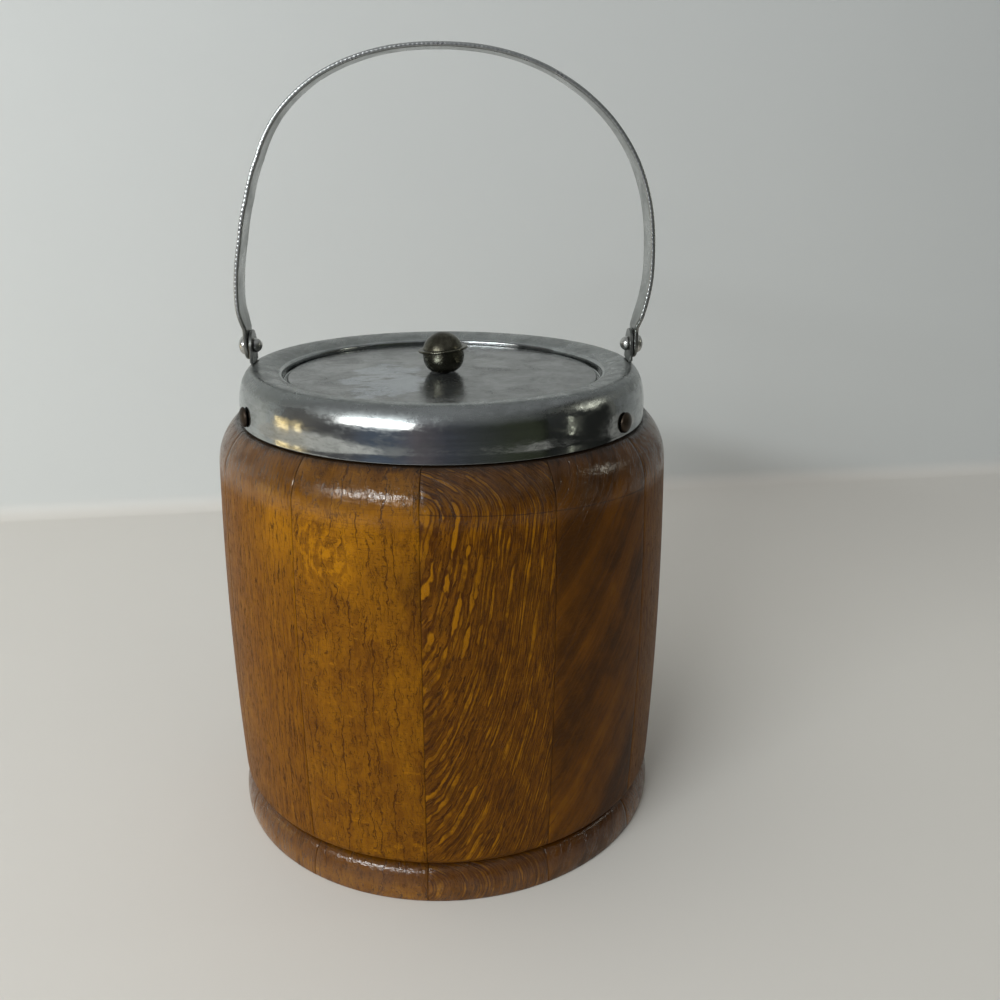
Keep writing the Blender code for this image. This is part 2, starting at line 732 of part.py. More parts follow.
def bail_centreline():
    """Half of the strip's middle line, from below the eye up to the crown."""
    half_sheet = STRIP_THICKNESS / 2
    span = BAIL_HALF_SPAN - half_sheet
    eye = EYE_OUTER - half_sheet
    inset = span - eye
    flare_drop = math.sqrt(FLARE_RADIUS ** 2 - (FLARE_RADIUS - inset) ** 2)
    points = [(eye, -2 * EYE_RADIUS)]
    for step in range(FLARE_STEPS):
        drop = flare_drop * (1.0 - step / FLARE_STEPS)
        bow = FLARE_RADIUS - math.sqrt(FLARE_RADIUS ** 2 - drop ** 2)
        points.append((span - bow, BAIL_WIDEST_RISE - drop))
    power = 2.0 / BAIL_FULLNESS
    for step in range(CROWN_STEPS + 1):
        angle = math.pi / 2 * step / CROWN_STEPS
        along = abs(math.cos(angle)) ** power if step < CROWN_STEPS else 0.0
        rise = (BAIL_CROWN_RISE - half_sheet) * math.sin(angle) ** power
        points.append((span * along, BAIL_WIDEST_RISE + rise))
    return points


def offset_path(points, distance):
    """The same path moved sideways, to its left when distance is positive."""
    moved = []
    for index, (x, z) in enumerate(points):
        before = points[max(index - 1, 0)]
        after = points[min(index + 1, len(points) - 1)]
        along = (after[0] - before[0], after[1] - before[1])
        length = math.hypot(*along)
        moved.append((x - distance * along[1] / length, z + distance * along[0] / length))
    return moved


def bail_side_outline():
    """The bent strip seen from the front, both of its faces."""
    right = bail_centreline()
    left = [(-x, z) for x, z in reversed(right[:-1])]
    path = right + left
    outer = offset_path(path, -STRIP_THICKNESS / 2)
    inner = offset_path(path, STRIP_THICKNESS / 2)
    return outer + inner[::-1]


def bail_width_outline():
    """The strip's width seen from the side: eye, neck, wide foot and taper."""
    top = BAIL_WIDEST_RISE + BAIL_CROWN_RISE + STRIP_THICKNESS
    half = [
        (EYE_RADIUS, EYE_NECK_RISE), (STRIP_LOW_WIDTH / 2, STRIP_SHOULDER_RISE),
        (STRIP_LOW_WIDTH / 2, STRIP_TAPER_RISE), (STRIP_CROWN_WIDTH / 2, top)]
    eye = ellipse_points((0.0, 0.0), (EYE_RADIUS, EYE_RADIUS), -180.0, 0.0, 13)
    return eye + half + [(-y, z) for y, z in reversed(half)]


def add_bail(pivot_holes):
    """Flat strip bent to an arch, cut to its tapering width, with two eyes."""
    bail = plate("bail", bail_side_outline(), 2 * STRIP_LOW_WIDTH, PARTS, chrome_finish("bail"))
    bail.location.z = PIVOT_HEIGHT
    bail.rotation_euler.x = math.pi / 2
    width = plate("bail_width", bail_width_outline(), 3 * BAIL_HALF_SPAN, CUTTERS)
    width.location.z = PIVOT_HEIGHT
    width.rotation_euler = (math.pi / 2, 0.0, math.pi / 2)
    boolean(bail, hide_cutter(width), 'INTERSECT')
    boolean(bail, pivot_holes, 'DIFFERENCE')
    return bail


def build_barrel():
    """The oak body with its board, liner, collar and nails."""
    nail_holes = nail_hole_cutter()
    blank = turned_blank()
    for index in range(STAVE_COUNT):
        add_stave(index, blank, nail_holes)
    add_bottom_board()
    add_liner()
    add_collar(nail_holes)
    add_nails()


def build_lid():
    """The lid with its knob, carried by an empty at the lid's seat."""
    carrier = add_empty("lid_lift", LID_BOTTOM)
    add_lid_plate(carrier)
    add_knob_lower(carrier)
    add_knob_upper(carrier)
    add_knob_stud(carrier)
    add_knob_washer(carrier)
    add_knob_nut(carrier)


def build_bail():
    """The bail with its ears and rivets."""
    pivot_holes = pivot_hole_cutter()
    for side, sign in (("left", -1), ("right", 1)):
        add_ear(side, sign, pivot_holes)
        add_rivet(side, sign)
    add_bail(pivot_holes)


build_barrel()
build_lid()
build_bail()
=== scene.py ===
"""Oak biscuit barrel: the looks of the turned body, the spun collar, the lid with its knob, and the bail.

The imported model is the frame. Each piece here is a surface worked out with numpy from the same sizes as the
solids, and each finish is a node material: oak cut through its rays, worn chrome, brass, steel and glaze.
Sizes are metres, azimuths are counted from the front (-Y) towards +X, and materials count in millimetres.
"""

import math
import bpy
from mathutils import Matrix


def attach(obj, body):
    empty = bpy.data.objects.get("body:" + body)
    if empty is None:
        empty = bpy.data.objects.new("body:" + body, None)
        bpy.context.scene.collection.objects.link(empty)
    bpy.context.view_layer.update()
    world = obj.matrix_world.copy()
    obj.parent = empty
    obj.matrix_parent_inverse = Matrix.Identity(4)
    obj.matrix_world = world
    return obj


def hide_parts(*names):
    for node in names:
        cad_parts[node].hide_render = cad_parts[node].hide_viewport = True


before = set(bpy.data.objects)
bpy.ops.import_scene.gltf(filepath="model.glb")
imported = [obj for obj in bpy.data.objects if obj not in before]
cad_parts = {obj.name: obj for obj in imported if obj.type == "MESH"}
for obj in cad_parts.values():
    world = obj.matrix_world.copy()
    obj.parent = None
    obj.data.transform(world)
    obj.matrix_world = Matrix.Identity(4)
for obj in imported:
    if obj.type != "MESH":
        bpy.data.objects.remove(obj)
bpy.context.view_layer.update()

from types import SimpleNamespace

import bmesh
import bpy
import numpy as np
from mathutils import Matrix, Vector

MERGE_DISTANCE = 0.0000004

# Turned oak blank

STAVE_COUNT = 12
FIRST_JOINT_DEG = -5.5
NECK_RADIUS = 0.0650
NECK_TOP = 0.1475
NECK_BEVEL = 0.0015
NECK_BEVEL_HEIGHT = 0.0045
BORE_RADIUS = 0.0585
BELLY_RADIUS = 0.0750
BELLY_HEIGHT = 0.0680
BELLY_CURVE = 1.268
SHOULDER_HEIGHT = 0.1247
SHOULDER_ROUND = 0.0180
SHELF_HEIGHT = 0.1384
FOOT_HEIGHT = 0.0124
FOOT_ROUND_HEIGHT = 0.0036
GROOVE_RADIUS = 0.0702
BEAD_HEIGHT = 0.0112
BEAD_RADIUS = 0.0745
BEAD_WIDEST = 0.0020
BEAD_FOOT_EASE = 0.0004
REBATE_RADIUS = 0.0620
REBATE_HEIGHT = 0.0100
GLUE_LINE = 0.00002
JOINT_CHAMFER = 0.00014
JOINT_CHAMFER_DEPTH = 0.00006

# Liner

LINER_OUTER = 0.0577
LINER_BORE = 0.0527
LINER_FLOOR = 0.0150
LINER_TOP = 0.1485
LINER_RIM_SWELL = 0.0022
LINER_RIM_HEIGHT = 0.0040
LINER_RIM_ROUND = 0.0015
LINER_FILLET = 0.0060
LINER_FOOT_ROUND = 0.0030

# Collar

SHEET = 0.0008
COLLAR_BOTTOM = 0.1387
COLLAR_RADIUS = 0.0661
BAND_TOP = 0.1430
CREST_RADIUS = 0.0608
CREST_HEIGHT = 0.1544
LIP_HEIGHT = 0.1526
LIP_ROUND = 0.0010
RECESS_RADIUS = 0.0521
LEDGE_HEIGHT = 0.1496
LEDGE_RADIUS = 0.0485
BAND_BEND_DROP = 0.0015
EDGE_ROLL = 0.00018
ROLL_START_RISE = 0.0009
ROLL_WIDEST_RISE = 0.0004
COLLAR_EDGE_ROUND = 0.00012
NAIL_AZIMUTHS = (54.5, 174.5, -65.5)
NAIL_HEAD_RADIUS = 0.00315
NAIL_HEAD_HEIGHT = 0.0015
NAIL_PIN_RADIUS = 0.0009
NAIL_TIP = 0.0600

# Lid and knob

LID_BOTTOM = 0.1499
LID_RADIUS = 0.0508
LID_TOP = 0.1510
LID_EDGE_ROUND = 0.0001
KNOB_RADIUS = 0.0068
KNOB_SHEET = 0.0007
KNOB_HEIGHT = 0.1573
KNOB_FOOT = 0.1513
KNOB_FULLNESS = 2.5
SEAM_RADIUS = 0.0082
SEAM_RISE = 0.0013
SEAM_THICKNESS = 0.0008
SEAM_TILT_DEG = -5.5
KNOB_GAP = 0.00002
STUD_RADIUS = 0.0018
STUD_HEAD_RADIUS = 0.0030
STUD_HOLE_RADIUS = 0.0021
WASHER_RADIUS = 0.0045
WASHER_THICKNESS = 0.0008
NUT_ACROSS_FLATS = 0.0060
NUT_HEIGHT = 0.0026
STUD_TAIL = 0.0010
STUD_HEAD_HEIGHT = 0.0012
STUD_HEAD_EASE = 0.0003
STUD_HEAD_LIFT = 0.0004
STUD_TIP_EASE = 0.0005
THREAD_START_DROP = 0.0008
THREAD_END_RISE = 0.0006
THREAD_PITCH = 0.0005
THREAD_DEPTH = 0.00016

# Ears, rivets and bail

GAP = 0.0003
HEAD_EASE = 0.0002
PIVOT_HEIGHT = 0.1600
EAR_DISTANCE = 0.0616
EAR_THICKNESS = 0.0009
EAR_RADIUS = 0.0050
EAR_SEAT = -0.0053
EAR_CORNER = -0.0050
TAB_WIDTH = 0.0070
TAB_END = -0.0090
RIVET_RADIUS = 0.0015
RIVET_HOLE_RADIUS = 0.0018
INNER_HEAD_RADIUS = 0.0023
INNER_HEAD_HEIGHT = 0.0023
OUTER_HEAD_RADIUS = 0.0030
OUTER_HEAD_HEIGHT = 0.0020
EYE_OUTER = 0.06375
EYE_RADIUS = 0.0045
EYE_NECK_RISE = 0.0050
STRIP_THICKNESS = 0.0014
STRIP_EDGE_ROUND = 0.0005
STRIP_SHOULDER_RISE = 0.0090
STRIP_LOW_WIDTH = 0.0120
STRIP_TAPER_RISE = 0.0420
STRIP_CROWN_WIDTH = 0.0085
BAIL_HALF_SPAN = 0.0665
BAIL_WIDEST_RISE = 0.0240
BAIL_CROWN_RISE = 0.0656
BAIL_FULLNESS = 2.2
FLARE_RADIUS = 0.0617
NOTCH_PITCH = 0.00135
NOTCH_DEPTH = 0.00006
BEND_RISES = (0.006, 0.012, 0.021, 0.033, 0.045, 0.057, 0.069, 0.080, 0.090)
BEND_LEFT = (0.0, 0.0002, 0.0016, 0.0033, 0.0040, 0.0035, 0.0017, 0.0008, 0.0008)
BEND_RIGHT = (0.0, 0.0004, 0.0009, 0.0011, 0.0016, 0.0019, 0.0017, 0.0011, 0.0008)

# Meshes from grids of points

def grid_faces(rows, columns, first=0):
    """Quads between neighbouring points of a grid that is numbered row by row."""
    row = np.arange(rows - 1)[:, None]
    column = np.arange(columns - 1)[None, :]
    corner = first + row * columns + column
    return np.stack([corner, corner + columns, corner + columns + 1, corner + 1], axis=-1).reshape(-1, 4)


def mesh_from(name, grids, caps=(), kept=None, closed=True, smooth_deg=38.0):
    """A mesh out of grids (rows, columns, 3): quads between neighbours, doubles merged at seams and poles.
    caps are loops of point numbers filled with one face each, and kept marks the quads that stay. A closed
    mesh has its normals turned outwards."""
    faces, first = [], 0
    for grid in grids:
        faces.append(grid_faces(grid.shape[0], grid.shape[1], first))
        first += grid.shape[0] * grid.shape[1]
    faces = np.concatenate(faces)
    if kept is not None:
        faces = faces[kept]
    points = np.concatenate([grid.reshape(-1, 3) for grid in grids])
    mesh = bpy.data.meshes.new(name)
    mesh.from_pydata(points.tolist(), [], faces.tolist() + [list(cap) for cap in caps])
    shape = bmesh.new()
    shape.from_mesh(mesh)
    bmesh.ops.remove_doubles(shape, verts=shape.verts, dist=MERGE_DISTANCE)
    if closed:
        bmesh.ops.recalc_face_normals(shape, faces=shape.faces)
    shape.to_mesh(mesh)
    shape.free()
    mesh.shade_smooth()
    mesh.set_sharp_from_angle(angle=math.radians(smooth_deg))
    return mesh


def add_piece(name, grid, body, material, slot, node, **mesh_options):
    """A piece out of one or more grids: it rides on its body, stands for its node and wears its material. Its
    slot is not used.
    """
    grids = grid if isinstance(grid, list) else [grid]
    piece = bpy.data.objects.new(name, mesh_from(name, grids, **mesh_options))
    bpy.context.scene.collection.objects.link(piece)
    piece.data.materials.append(material)
    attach(piece, body)
    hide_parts(node)
    return piece


def arc(centre, radii, start_deg, end_deg, count):
    """Points (r, z) of an ellipse's arc: centre + radii * (cos, sin) of an angle from start to end."""
    angle = np.radians(np.linspace(start_deg, end_deg, count))
    return np.stack([centre[0] + radii[0] * np.cos(angle), centre[1] + radii[1] * np.sin(angle)], axis=-1)


def rounded(r, z, size, start_deg, end_deg, count):
    """Points of a circle's arc about (r, z)."""
    return arc((r, z), (size, size), start_deg, end_deg, count)


def path(*runs):
    """Points and arcs joined into one profile."""
    return np.concatenate([np.atleast_2d(np.array(run, dtype=float)) for run in runs])


def dense(profile, step):
    """The same profile with extra points, so that no straight run is longer than the step."""
    runs = []
    for start, end in zip(profile[:-1], profile[1:]):
        count = max(1, int(np.ceil(np.linalg.norm(end - start) / step)))
        runs.append(start + (end - start) * (np.arange(count) / count)[:, None])
    return np.concatenate(runs + [profile[-1:]])


def spread(x, y, z):
    """A grid of points from arrays of x, y and z that are repeated where they have one row or column."""
    return np.stack(np.broadcast_arrays(x, y, z), axis=-1)


def carried_round(radius, height, angle):
    """Points at radii and heights, carried round Z to angles a: x = r sin(a), y = -r cos(a), z."""
    return spread(radius * np.sin(angle), -radius * np.cos(angle), height)


def turned(profile, columns=144, place=None):
    """A profile (r, z) carried over a full turn, then placed."""
    grid = carried_round(profile[:, :1], profile[:, 1:], np.linspace(0.0, 2.0 * np.pi, columns + 1)[None, :])
    return grid if place is None else placed(grid, place)


def placed(grid, place):
    """A grid's points moved by a 4 x 4 matrix."""
    matrix = np.array(place)
    return grid @ matrix[:3, :3].T + matrix[:3, 3]


def add_bevel(piece, width, segments=2, angle_deg=40.0):
    """Round a piece's sharp edges."""
    bevel = piece.modifiers.new("edges", 'BEVEL')
    bevel.width, bevel.segments = width, segments
    bevel.limit_method, bevel.angle_limit = 'ANGLE', math.radians(angle_deg)
    bevel.harden_normals = False


def add_sheet(piece, thickness, offset):
    """Give a surface its sheet thickness."""
    solidify = piece.modifiers.new("sheet", 'SOLIDIFY')
    solidify.thickness, solidify.offset = thickness, offset
    solidify.use_even_offset = True


# Materials from nodes

def math_step(operation, other_first=False):
    """A method that adds a Math node for a value and another."""
    def method(self, other=0.0):
        return self.nodes.math(operation, *((other, self) if other_first else (self, other)))
    return method


class Value:
    """A node's output. A formula that holds it adds a Math node for each of its steps."""

    __add__, __radd__ = math_step('ADD'), math_step('ADD', True)
    __sub__, __rsub__ = math_step('SUBTRACT'), math_step('SUBTRACT', True)
    __mul__, __rmul__ = math_step('MULTIPLY'), math_step('MULTIPLY', True)
    __truediv__, __abs__ = math_step('DIVIDE'), math_step('ABSOLUTE')

    def __init__(self, nodes, socket):
        self.nodes, self.socket = nodes, socket


class Nodes:
    """A node tree under way: short calls that add a node and give back its output."""

    def __init__(self, tree):
        self.tree = tree

    def put(self, socket, value):
        """A plain value, a colour or another node's output on a socket."""
        if isinstance(value, Value):
            self.tree.links.new(value.socket, socket)
        elif isinstance(value, tuple) and len(socket.default_value) > len(value):
            socket.default_value = (*value, 1.0)
        else:
            socket.default_value = value

    def add(self, kind, inputs, output=0, **settings):
        """A node with its settings, then its inputs. The result is one of its outputs."""
        node = self.tree.nodes.new('ShaderNode' + kind)
        for name, value in settings.items():
            setattr(node, name, value)
        for key, value in inputs.items():
            self.put(node.inputs[key], value)
        return Value(self, node.outputs[output])

    def math(self, operation, *values):
        """A Math node."""
        return self.add('Math', dict(enumerate(values)), operation=operation)

    def most(self, first, *others):
        """The largest of several values."""
        for other in others:
            first = self.math('MAXIMUM', first, other)
        return first

    def length(self, x, y):
        """How long the step (x, y) is."""
        return self.math('SQRT', x * x + y * y)

    def split(self, vector):
        """A vector's three parts."""
        return [Value(self, part) for part in self.add('SeparateXYZ', {0: vector}).socket.node.outputs]

    def join(self, x, y, z):
        """A vector out of three parts."""
        return self.add('CombineXYZ', {0: x, 1: y, 2: z})

    def stretch(self, vector, scale, shift=(0.0, 0.0, 0.0)):
        """A vector times a scale, then shifted, part by part."""
        return self.add('VectorMath', {0: vector, 1: scale, 2: shift}, operation='MULTIPLY_ADD')

    def noise(self, vector, scale=1.0, detail=2.0, roughness=0.5, distortion=0.0):
        """Noise from 0 to 1, with its middle at a half."""
        return self.add('TexNoise', {"Vector": vector, "Scale": scale, "Detail": detail,
                                     "Roughness": roughness, "Distortion": distortion}, "Fac")

    def cells(self, vector, scale, feature='F1'):
        """Distances in a field of cells."""
        return self.add('TexVoronoi', {"Vector": vector, "Scale": scale}, "Distance", feature=feature)

    def chance(self, value):
        """A fixed random number from 0 to 1 for each whole number."""
        return self.add('TexWhiteNoise', {"W": value}, "Value", noise_dimensions='1D')

    def band(self, value, start, end, low=0.0, high=1.0, kind='SMOOTHSTEP'):
        """A step from low to high, soft if not told otherwise, as the value goes from start to end."""
        if start > end:
            start, end, low, high = end, start, high, low
        return self.add('MapRange', {"Value": value, "From Min": start, "From Max": end, "To Min": low,
                                     "To Max": high}, "Result", interpolation_type=kind)

    def blend(self, share, first, second, kind='MIX'):
        """Two colours mixed by a share."""
        return self.add('Mix', {0: share, 6: first, 7: second}, 2, data_type='RGBA', blend_type=kind)

    def layers(self, colour, *coats):
        """A colour with others laid over it one by one, each with its share."""
        for share, coat in coats:
            colour = self.blend(share, colour, coat)
        return colour

    def ramp(self, value, stops):
        """A colour that changes along a value, through its stops."""
        colour = self.add('ValToRGB', {0: value})
        elements = colour.socket.node.color_ramp.elements
        while len(elements) < len(stops):
            elements.new(0.5)
        for element, (position, tone) in zip(elements, stops):
            element.position = position
            element.color = (*tone, 1.0)
        return colour

    def bump(self, height, strength, distance):
        """A normal from a height."""
        return self.add('Bump', {"Height": height, "Strength": strength, "Distance": distance}, "Normal")


class Finish(Nodes):
    """A material with its shader, and its point, x, y and z in millimetres, turned about Z."""

    def __init__(self, name, turn_deg=0.0):
        self.material = bpy.data.materials.new(name)
        self.material.use_nodes = True
        super().__init__(self.material.node_tree)
        self.shader = self.tree.nodes["Principled BSDF"]
        self.point = self.add('Mapping', {
            "Vector": self.add('TexCoord', {}, "Object"), "Rotation": (0.0, 0.0, math.radians(turn_deg)),
            "Scale": (1000.0, 1000.0, 1000.0)})
        self.x, self.y, self.z = self.split(self.point)

    def cloud(self, across, up, shift, detail=2.0, roughness=0.5, distortion=0.0):
        """Noise over the point, with one scale across and one up the piece."""
        at = self.stretch(self.point, (across, across, up), shift)
        return self.noise(at, 1.0, detail, roughness, distortion)

    def set(self, **sockets):
        """Values and outputs on the shader's sockets. An underscore stands for a space."""
        for name, value in sockets.items():
            self.put(self.shader.inputs[name.replace("_", " ")], value)
        return self.material


# Oak

HONEY = (0.250, 0.098, 0.0020)
GOLD = (0.430, 0.174, 0.0020)
BROWN = (0.145, 0.050, 0.0020)
UMBER = (0.046, 0.016, 0.0015)
RUST = (0.050, 0.014, 0.0010)
# the colour of dirt in the joints and of the painted shade under the collar and in the groove
SOOT_AND_SHADE = (0.012, 0.007, 0.004)
HALF_STAVE = math.pi / STAVE_COUNT
SCORE_SLOPE = -0.0454
SHOULDER_GLOSS_FROM, SHOULDER_GLOSS_TO = 121.0, 127.0
BEAD_TOP_MM = 10.5


def ray_flecks(f, sheet, spacing, width, lens_across, lens_up, share):
    """Flecks of one set of ray sheets: a sheet lies at the middle of each cell of the sheet coordinate, and a
    noise of its own gives its thickness along the way, so that it swells and dies out like a lens. The second
    result is the dark rim of the flecks."""
    count = sheet / spacing
    place = f.math('FLOOR', count)
    near = abs(f.math('FRACT', count) - 0.5)
    lens = f.noise(f.join(f.x * lens_across, place * 3.7, f.z * lens_up))
    thickness = f.band(lens, 0.60 - share, 0.80 - share, 0.0, width)
    gap = thickness - near
    rim = f.band(gap, -0.20, -0.04) * f.band(thickness, 0.01, 0.06)
    return f.band(gap, 0.0, 0.45 * width), rim


def dark_lines(f, across, spacing, width, gaps, up, seed):
    """Thin lines, one in each cell of the growth coordinate at a random place, whose thickness in millimetres
    swells and dies out along the way."""
    count = across / spacing
    place = f.math('FLOOR', count)
    offset = f.chance(place + seed) * 0.6 + 0.2
    distance = abs(f.math('FRACT', count) - offset) * spacing
    swell = f.noise(f.join(place * 3.7, seed, f.z * up), detail=3.0, roughness=0.6)
    thickness = f.band(swell, gaps, gaps + 0.20, 0.0, width)
    return f.band(thickness - distance, 0.0, 0.12)


def spot(f, x, z, size):
    """A round mark at (x, z) in millimetres: one at its middle, gone beyond its size."""
    across, up = (f.x - x) * (1.0 / size), (f.z - z) * (0.8 / size)
    return f.math('EXPONENT', (across * across + up * up) * -1.0)


def oak(name, turn_deg, look):
    """Varnished quarter-sawn oak. Here x runs across the stave, y into it and z up, all in millimetres.
    Rays are thin sheets s = y + lean x - rise z + curl z squared, bent by noise, so the turned face cuts them
    into long flecks. Growth lines are the level lines of a noise over x that hardly changes up the stave, and
    pores are short dark dashes that crowd along them. In a flecked stave the dashes follow the rays. The
    varnish keeps its gloss on the shoulder and the bead, and is rubbed thin on the wall."""
    f, look = Finish(name, -turn_deg), SimpleNamespace(**look)
    seed = look.seed
    slow = f.cloud(0.050, 0.022, (seed, 0.0, 0.0)) - 0.5
    quick = f.cloud(0.40, 0.21, (0.0, seed, 0.0), detail=3.0) - 0.5
    kinks = f.cloud(0.9, 0.55, (seed, 0.0, 3.0)) - 0.5
    sheet = (f.y + f.x * look.lean + f.z * -look.rise + f.z * f.z * look.curl + slow * look.sway
             + quick * (look.sway * 0.22))

    # growth: thin dark lines, bent round a knot, with finer ones between them
    if look.ray_grain:
        across = sheet * (1.0 / look.lean)
    else:
        across = (f.x + f.y * look.lean_in + f.z * look.slant + slow * look.wander + quick * look.ripple
                  + kinks * (0.4 * look.ripple))
    if look.knot:
        across = across + spot(f, *look.knot) * (0.9 * look.knot[2])
    growth = f.noise(f.join(across * look.growth, f.z * 0.006, seed), detail=3.0, roughness=0.60)
    near_line = f.band(abs(growth - 0.5), 0.12, 0.01)
    broken = f.cloud(0.45, 0.13, (seed, 2.0, 0.0), 3.0, 0.65)
    pitch, width = look.line_pitch, look.line_width
    line = f.most(dark_lines(f, across, pitch, width, 0.43, 0.10, seed),
                  dark_lines(f, across + 0.7, 0.24 * pitch, 0.45 * width, 0.48, 0.15, seed) * 0.8,
                  dark_lines(f, across + 2.9, 0.55 * pitch, 0.85 * width, 0.54, 0.21, seed + 9.0))
    mottle = f.cloud(0.22, 0.15, (seed, 8.0, 0.0), 4.0, 0.66)
    fine = f.noise(f.join(across * 1.5, f.z * 0.11, seed), detail=4.0, roughness=0.72)
    patch = f.cloud(0.060, 0.040, (0.0, 0.0, seed), 4.0, 0.60)
    middle = 0.5 * (look.patch + look.streak + look.rings + look.mottle)
    tone = (growth * look.rings + fine * look.streak + patch * look.patch + mottle * look.mottle
            + (look.tone + 0.35 - middle))
    colour = f.ramp(tone, [(0.20, UMBER), (0.33, BROWN), (0.46, HONEY), (0.66, GOLD)])

    # flame: golden patches where a ray lies flat in the face, and short golden bars
    flame_at = f.cloud(0.10, 0.065, (seed, seed, seed), 5.0, 0.66, distortion=0.5)
    flame = f.band(flame_at, 0.46, 0.58) * look.flame * f.band(f.z, 70.0, 122.0, 0.30, 1.0)
    if look.glow:
        flame = f.most(flame, spot(f, *look.glow) * f.band(flame_at, 0.30, 0.50) * 0.9)
    bars = f.cloud(0.16, 0.40, (seed, 0.0, seed), detail=3.0)
    flame = f.most(flame, f.band(bars, 0.64, 0.70) * look.flame)

    # pores: dashes along the growth, and small ticks and chatter across them where the tool tore
    dashes = f.noise(f.join(across * 2.0, f.y * 0.4, f.z * 0.30), detail=3.0, roughness=0.70)
    pore = f.band(dashes, 0.56, 0.62) * (near_line * 0.50 + 0.55) * look.pores
    ticks = f.cloud(0.9, 2.5, (0.0, seed, 0.0), 3.0, 0.7)
    tick = f.band(ticks, 0.59, 0.66) * f.band(broken, 0.35, 0.60) * look.ticks
    chatter = f.band(f.cloud(0.13, 2.7, (seed, 0.0, 0.0), roughness=0.6), 0.54, 0.68) * look.ticks * 0.40
    colour = f.layers(colour, (flame * 0.62, GOLD), (near_line * look.lines * 0.12, BROWN), (chatter, BROWN),
                      (pore * 0.78, UMBER), (tick * 0.65, UMBER), (line * look.lines * 0.85, RUST))

    # rays
    flecks = 0.0
    if look.flecks:
        broad, broad_rim = ray_flecks(f, sheet, look.spacing, 0.24, 0.07, 0.055, look.share)
        slender, slender_rim = ray_flecks(f, sheet + 3.3, look.spacing * 0.52, 0.24, 0.09, 0.055,
                                          look.share + 0.01)
        large, large_rim = ray_flecks(f, sheet + 7.7, look.spacing * 1.15, 0.22, 0.16, 0.125,
                                      look.share + 0.02)
        flecks = f.most(broad, slender * 0.70)
        rims = f.most(broad_rim, slender_rim * 0.80)
        near_joint = f.band(f.x, 1.0, -7.0) * f.band(f.z, 76.0, 94.0)
        colour = f.layers(colour, (rims * look.flecks, RUST),
                          (flecks * look.flecks * f.band(mottle, 0.38, 0.60, 0.28, 1.0), GOLD),
                          (large_rim * near_joint * 0.75, RUST), (large * near_joint * 0.62, GOLD))

    # marks: rings round a knot, a dark blotch, a line scored round the shoulder and dirt in the joints, then
    # painted shade under the collar, in the groove and in red-brown on the bead's upper half
    if look.knot:
        x, z, size = look.knot
        away = f.length(f.x - x, (f.z - z) * 0.7)
        wave = f.math('SINE', away * 1.7 + quick * 16.0 + kinks * 5.0 + slow * 6.0)
        near_knot = f.band(away, 2.6 * size, 0.8 * size) * f.band(flame_at, 0.36, 0.58, 0.10, 1.0)
        colour = f.layers(colour, (f.band(wave, 0.10, 0.95) * near_knot * 0.62, GOLD),
                          (f.band(wave, -0.30, -0.95) * near_knot * 0.55, BROWN))
    if look.blot:
        stain = spot(f, *look.blot) * f.band(patch, 0.35, 0.60, 0.5, 1.0)
        colour = f.blend(stain * 0.62, colour, UMBER)
    joint = f.y * -math.sin(HALF_STAVE) + abs(f.x) * -math.cos(HALF_STAVE)
    seam = f.band(joint, 0.28, 0.06)
    joint_dirt = seam * f.band(broken, 0.30, 0.62, 0.40, 1.0)
    radius = f.length(f.x, f.y)
    # painted shade: a darker band round the shoulder just under the collar
    under_collar_shade = (f.band(radius + fine * 3.0, 71.0, 67.5) * f.band(f.z, 131.0, 137.0) * 0.65
                   + f.band(f.z + patch * 6.0, 128.0, 136.5) * 0.50)
    # painted shade: darker in the groove between the wall's foot and the bead
    groove_shade = f.band(radius, 73.2, 71.4) * f.band(f.z, 16.5, 13.5) * f.band(f.z, 7.5, BEAD_TOP_MM)
    # dirt in the joints and along the scored line, together with the painted shade under the collar and in
    # the groove
    dirt_and_shade = joint_dirt * 0.42 + under_collar_shade + groove_shade * 0.10
    if look.score:
        score = abs(f.z + f.x * -SCORE_SLOPE + quick * 0.5 + -look.score)
        dirt_and_shade = dirt_and_shade + f.band(score, 0.26, 0.08) * f.band(broken, 0.30, 0.50) * 0.55
    dirt_and_shade = f.math('MINIMUM', 0.92, dirt_and_shade)
    # painted shade: the bead's upper half darkened in red-brown
    bead_shade = f.band(f.z, 3.5, 7.5) * f.band(f.z, 13.5, 11.5) * 0.50
    colour = f.layers(colour, (bead_shade, RUST), (dirt_and_shade, SOOT_AND_SHADE))

    grit = f.noise(f.point, 0.85, detail=3.0) * f.band(f.z, 12.5, 10.0, 0.50, 0.90)
    relief = fine * 0.35 + pore * -0.50 + tick * -0.40 + line * -0.8
    relief = relief + flecks * 0.20 + grit + joint_dirt * -0.4
    normal = f.bump(relief, 0.75, 0.00024)
    rough = patch * 0.12 + 0.42 + pore * 0.15 + dirt_and_shade * 0.2
    handled = f.most(f.band(f.z, SHOULDER_GLOSS_FROM, SHOULDER_GLOSS_TO), f.band(f.z, 13.0, BEAD_TOP_MM))
    gloss = handled * f.band(mottle, 0.34, 0.56, 0.30, 0.70) + 0.12
    gloss = (gloss + f.band(f.z, 12.5, BEAD_TOP_MM, 0.0, 0.22)) * (1.0 - seam)
    return f.set(Base_Color=colour, Roughness=rough, Normal=normal, Coat_Normal=normal, Coat_Weight=gloss,
                 Coat_Roughness=0.06, Coat_IOR=1.45, Specular_IOR_Level=0.04)


